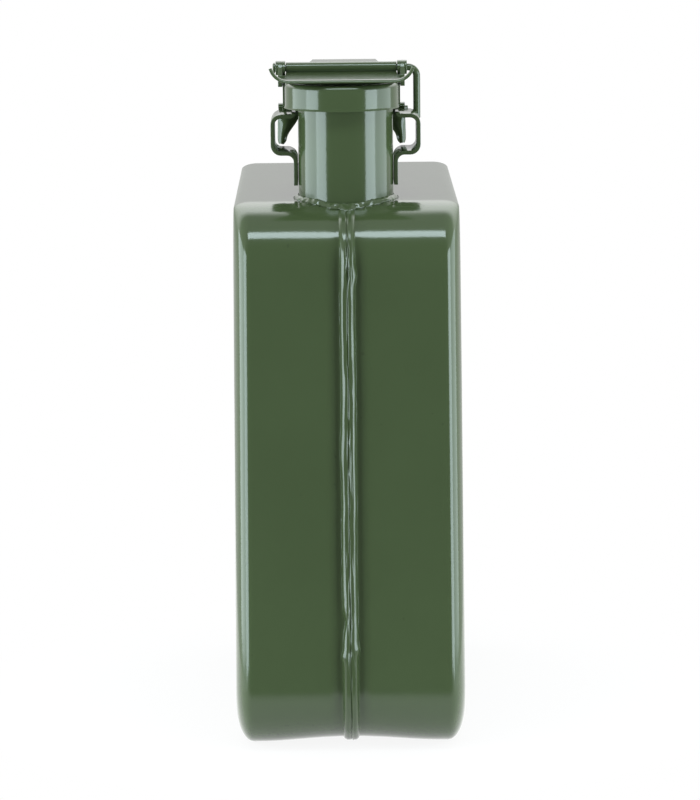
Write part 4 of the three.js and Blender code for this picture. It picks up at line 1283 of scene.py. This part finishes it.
# Studio
# A white table and white surroundings, dim on the camera's side, with a bright canopy behind. Two
# tall soft strips stand in front, two wide panels beside the can and one long box above its front.
# The table is white to the camera, fades forward in reflections and still takes the can's shadow.
TABLE_LOW = Vector((-0.2, -0.225, 0))
TABLE_HIGH = Vector((0.2, 0.9, 0))
TABLE_WHITE = (0.86, 0.86, 0.86, 1)
TABLE_BRIGHT_Y = -0.14
TABLE_GLOSS = 1.3
SURROUND = (1.0, 1.0, 1.0, 1)
GLOSS_FRONT = 0.2
GLOSS_BACK = 0.72
GLOSS_CANOPY = 3.8
LIGHT_FRONT = 0.25
LIGHT_BACK = 0.9
BEHIND = (-0.75, -0.25)
CANOPY_UP = (0.12, 0.85)
CANOPY_BACK = (0.25, 0.55)
SHADOW_SHOW = 0.1
SHADOW_NEAR = 0.12
SHADOW_FAR = 0.2
LAMP_COLOUR = (0.88, 1.0, 1.05)
CAN_MIDDLE = (0, -0.06, 0.18)
CAN_SHOULDER = (0, -0.11, 0.24)
# Each light's name, azimuth and elevation in degrees, distance, target, width, height and radiance.
SOFT_LIGHTS = (
    ("right_strip", 60, 0, 0.6, CAN_MIDDLE, 0.277, 0.58, 6.3),
    ("right_panel", 94, 0, 0.7, CAN_MIDDLE, 0.56, 0.58, 2.4),
    ("left_strip", -60, 0, 0.6, CAN_MIDDLE, 0.277, 0.58, 6.3),
    ("left_panel", -94, 0, 0.7, CAN_MIDDLE, 0.56, 0.58, 3.6),
    ("front_box", 0, 64, 0.8, CAN_SHOULDER, 0.7, 0.17, 9.5),
)


def rays(finish):
    """Which rays come from the camera, and which come off gloss or through glass."""
    camera_ray = finish.node("ShaderNodeLightPath", {}, {}, "Is Camera Ray")
    outputs = camera_ray.socket.node.outputs
    glossy = Value(finish, outputs["Is Glossy Ray"]) + Value(finish, outputs["Is Transmission Ray"])
    return camera_ray, glossy


world = bpy.data.worlds.new("studio")
scene.world = world
sky = Finish(world)
outlook = sky.node("ShaderNodeTexCoord", {}, {}, "Generated")
rearward = sky.node("ShaderNodeSeparateXYZ", {}, {"Vector": outlook}, "Y")
upward = Value(sky, rearward.socket.node.outputs["Z"])


def rise(value, low, high, kind="SMOOTHSTEP"):
    """A share of the surroundings that grows from none to full between two values."""
    sockets = {"Value": value, "From Min": low, "From Max": high}
    return sky.node("ShaderNodeMapRange", {"interpolation_type": kind}, sockets)


behind = rise(rearward, *BEHIND)
canopy = rise(upward, *CANOPY_UP, "LINEAR") * rise(rearward, *CANOPY_BACK)
direct, glossy = rays(sky)
mirrored = behind * (GLOSS_BACK - GLOSS_FRONT) + GLOSS_FRONT + canopy * GLOSS_CANOPY
lighting = behind * (LIGHT_BACK - LIGHT_FRONT) + LIGHT_FRONT
level = direct + glossy * mirrored + (1 - direct - glossy) * lighting
background = sky.node("ShaderNodeBackground", {}, {"Color": SURROUND, "Strength": level})
sky.node("ShaderNodeOutputWorld", {}, {"Surface": background})

table_mesh = bmesh.new()
bmesh.ops.create_grid(table_mesh, x_segments=1, y_segments=1, size=0.5)
bmesh.ops.scale(table_mesh, verts=table_mesh.verts, vec=TABLE_HIGH - TABLE_LOW)
bmesh.ops.translate(table_mesh, verts=table_mesh.verts, vec=(TABLE_LOW + TABLE_HIGH) / 2)
table_data = bpy.data.meshes.new("table")
table_mesh.to_mesh(table_data)
table_mesh.free()
table_material = bpy.data.materials.new("white_table")
table = Finish(table_material)
distance = table.node("ShaderNodeVectorMath", {"operation": "LENGTH"}, {0: table.place()}, "Value")
clear = table.node("ShaderNodeMapRange", {}, {
    "Value": distance, "From Min": SHADOW_NEAR, "From Max": SHADOW_FAR, "To Min": 1 - SHADOW_SHOW})
direct, glossy = rays(table)
near = table.node("ShaderNodeMapRange", {"interpolation_type": "SMOOTHSTEP"}, {
    "Value": table.node("ShaderNodeSeparateXYZ", {}, {"Vector": table.place()}, "Y"),
    "From Min": TABLE_LOW.y, "From Max": TABLE_BRIGHT_Y})
matt = table.node("ShaderNodeBsdfDiffuse", {}, {"Color": TABLE_WHITE})
white, dim, bright = (
    table.node("ShaderNodeEmission", {}, {"Color": SURROUND, "Strength": strength})
    for strength in (1.0, GLOSS_FRONT, TABLE_GLOSS))
mirrored = table.node("ShaderNodeMixShader", {}, {0: near, 1: dim, 2: bright})
shown = table.node("ShaderNodeMixShader", {}, {0: glossy, 1: white, 2: mirrored})
mixed = table.node("ShaderNodeMixShader", {}, {0: (direct + glossy) * clear, 1: matt, 2: shown})
table.node("ShaderNodeOutputMaterial", {}, {"Surface": mixed})
table_data.materials.append(table_material)
table_top = bpy.data.objects.new("table", table_data)
scene.collection.objects.link(table_top)


def soft_light(name, azimuth, elevation, distance, target, width, height, radiance):
    """A soft box that faces a target. Azimuth 0 is the camera's side."""
    data = bpy.data.lights.new(name, "AREA")
    data.shape = "RECTANGLE"
    data.size = width
    data.size_y = height
    data.energy = radiance * pi * width * height
    data.color = LAMP_COLOUR
    light = bpy.data.objects.new(name, data)
    turn = radians(azimuth)
    lift = radians(elevation)
    away = Vector((sin(turn) * cos(lift), -cos(turn) * cos(lift), sin(lift)))
    light.location = Vector(target) + away * distance
    light.rotation_euler = away.to_track_quat("Z", "Y").to_euler()
    light.visible_camera = False
    scene.collection.objects.link(light)


for row in SOFT_LIGHTS:
    soft_light(*row)
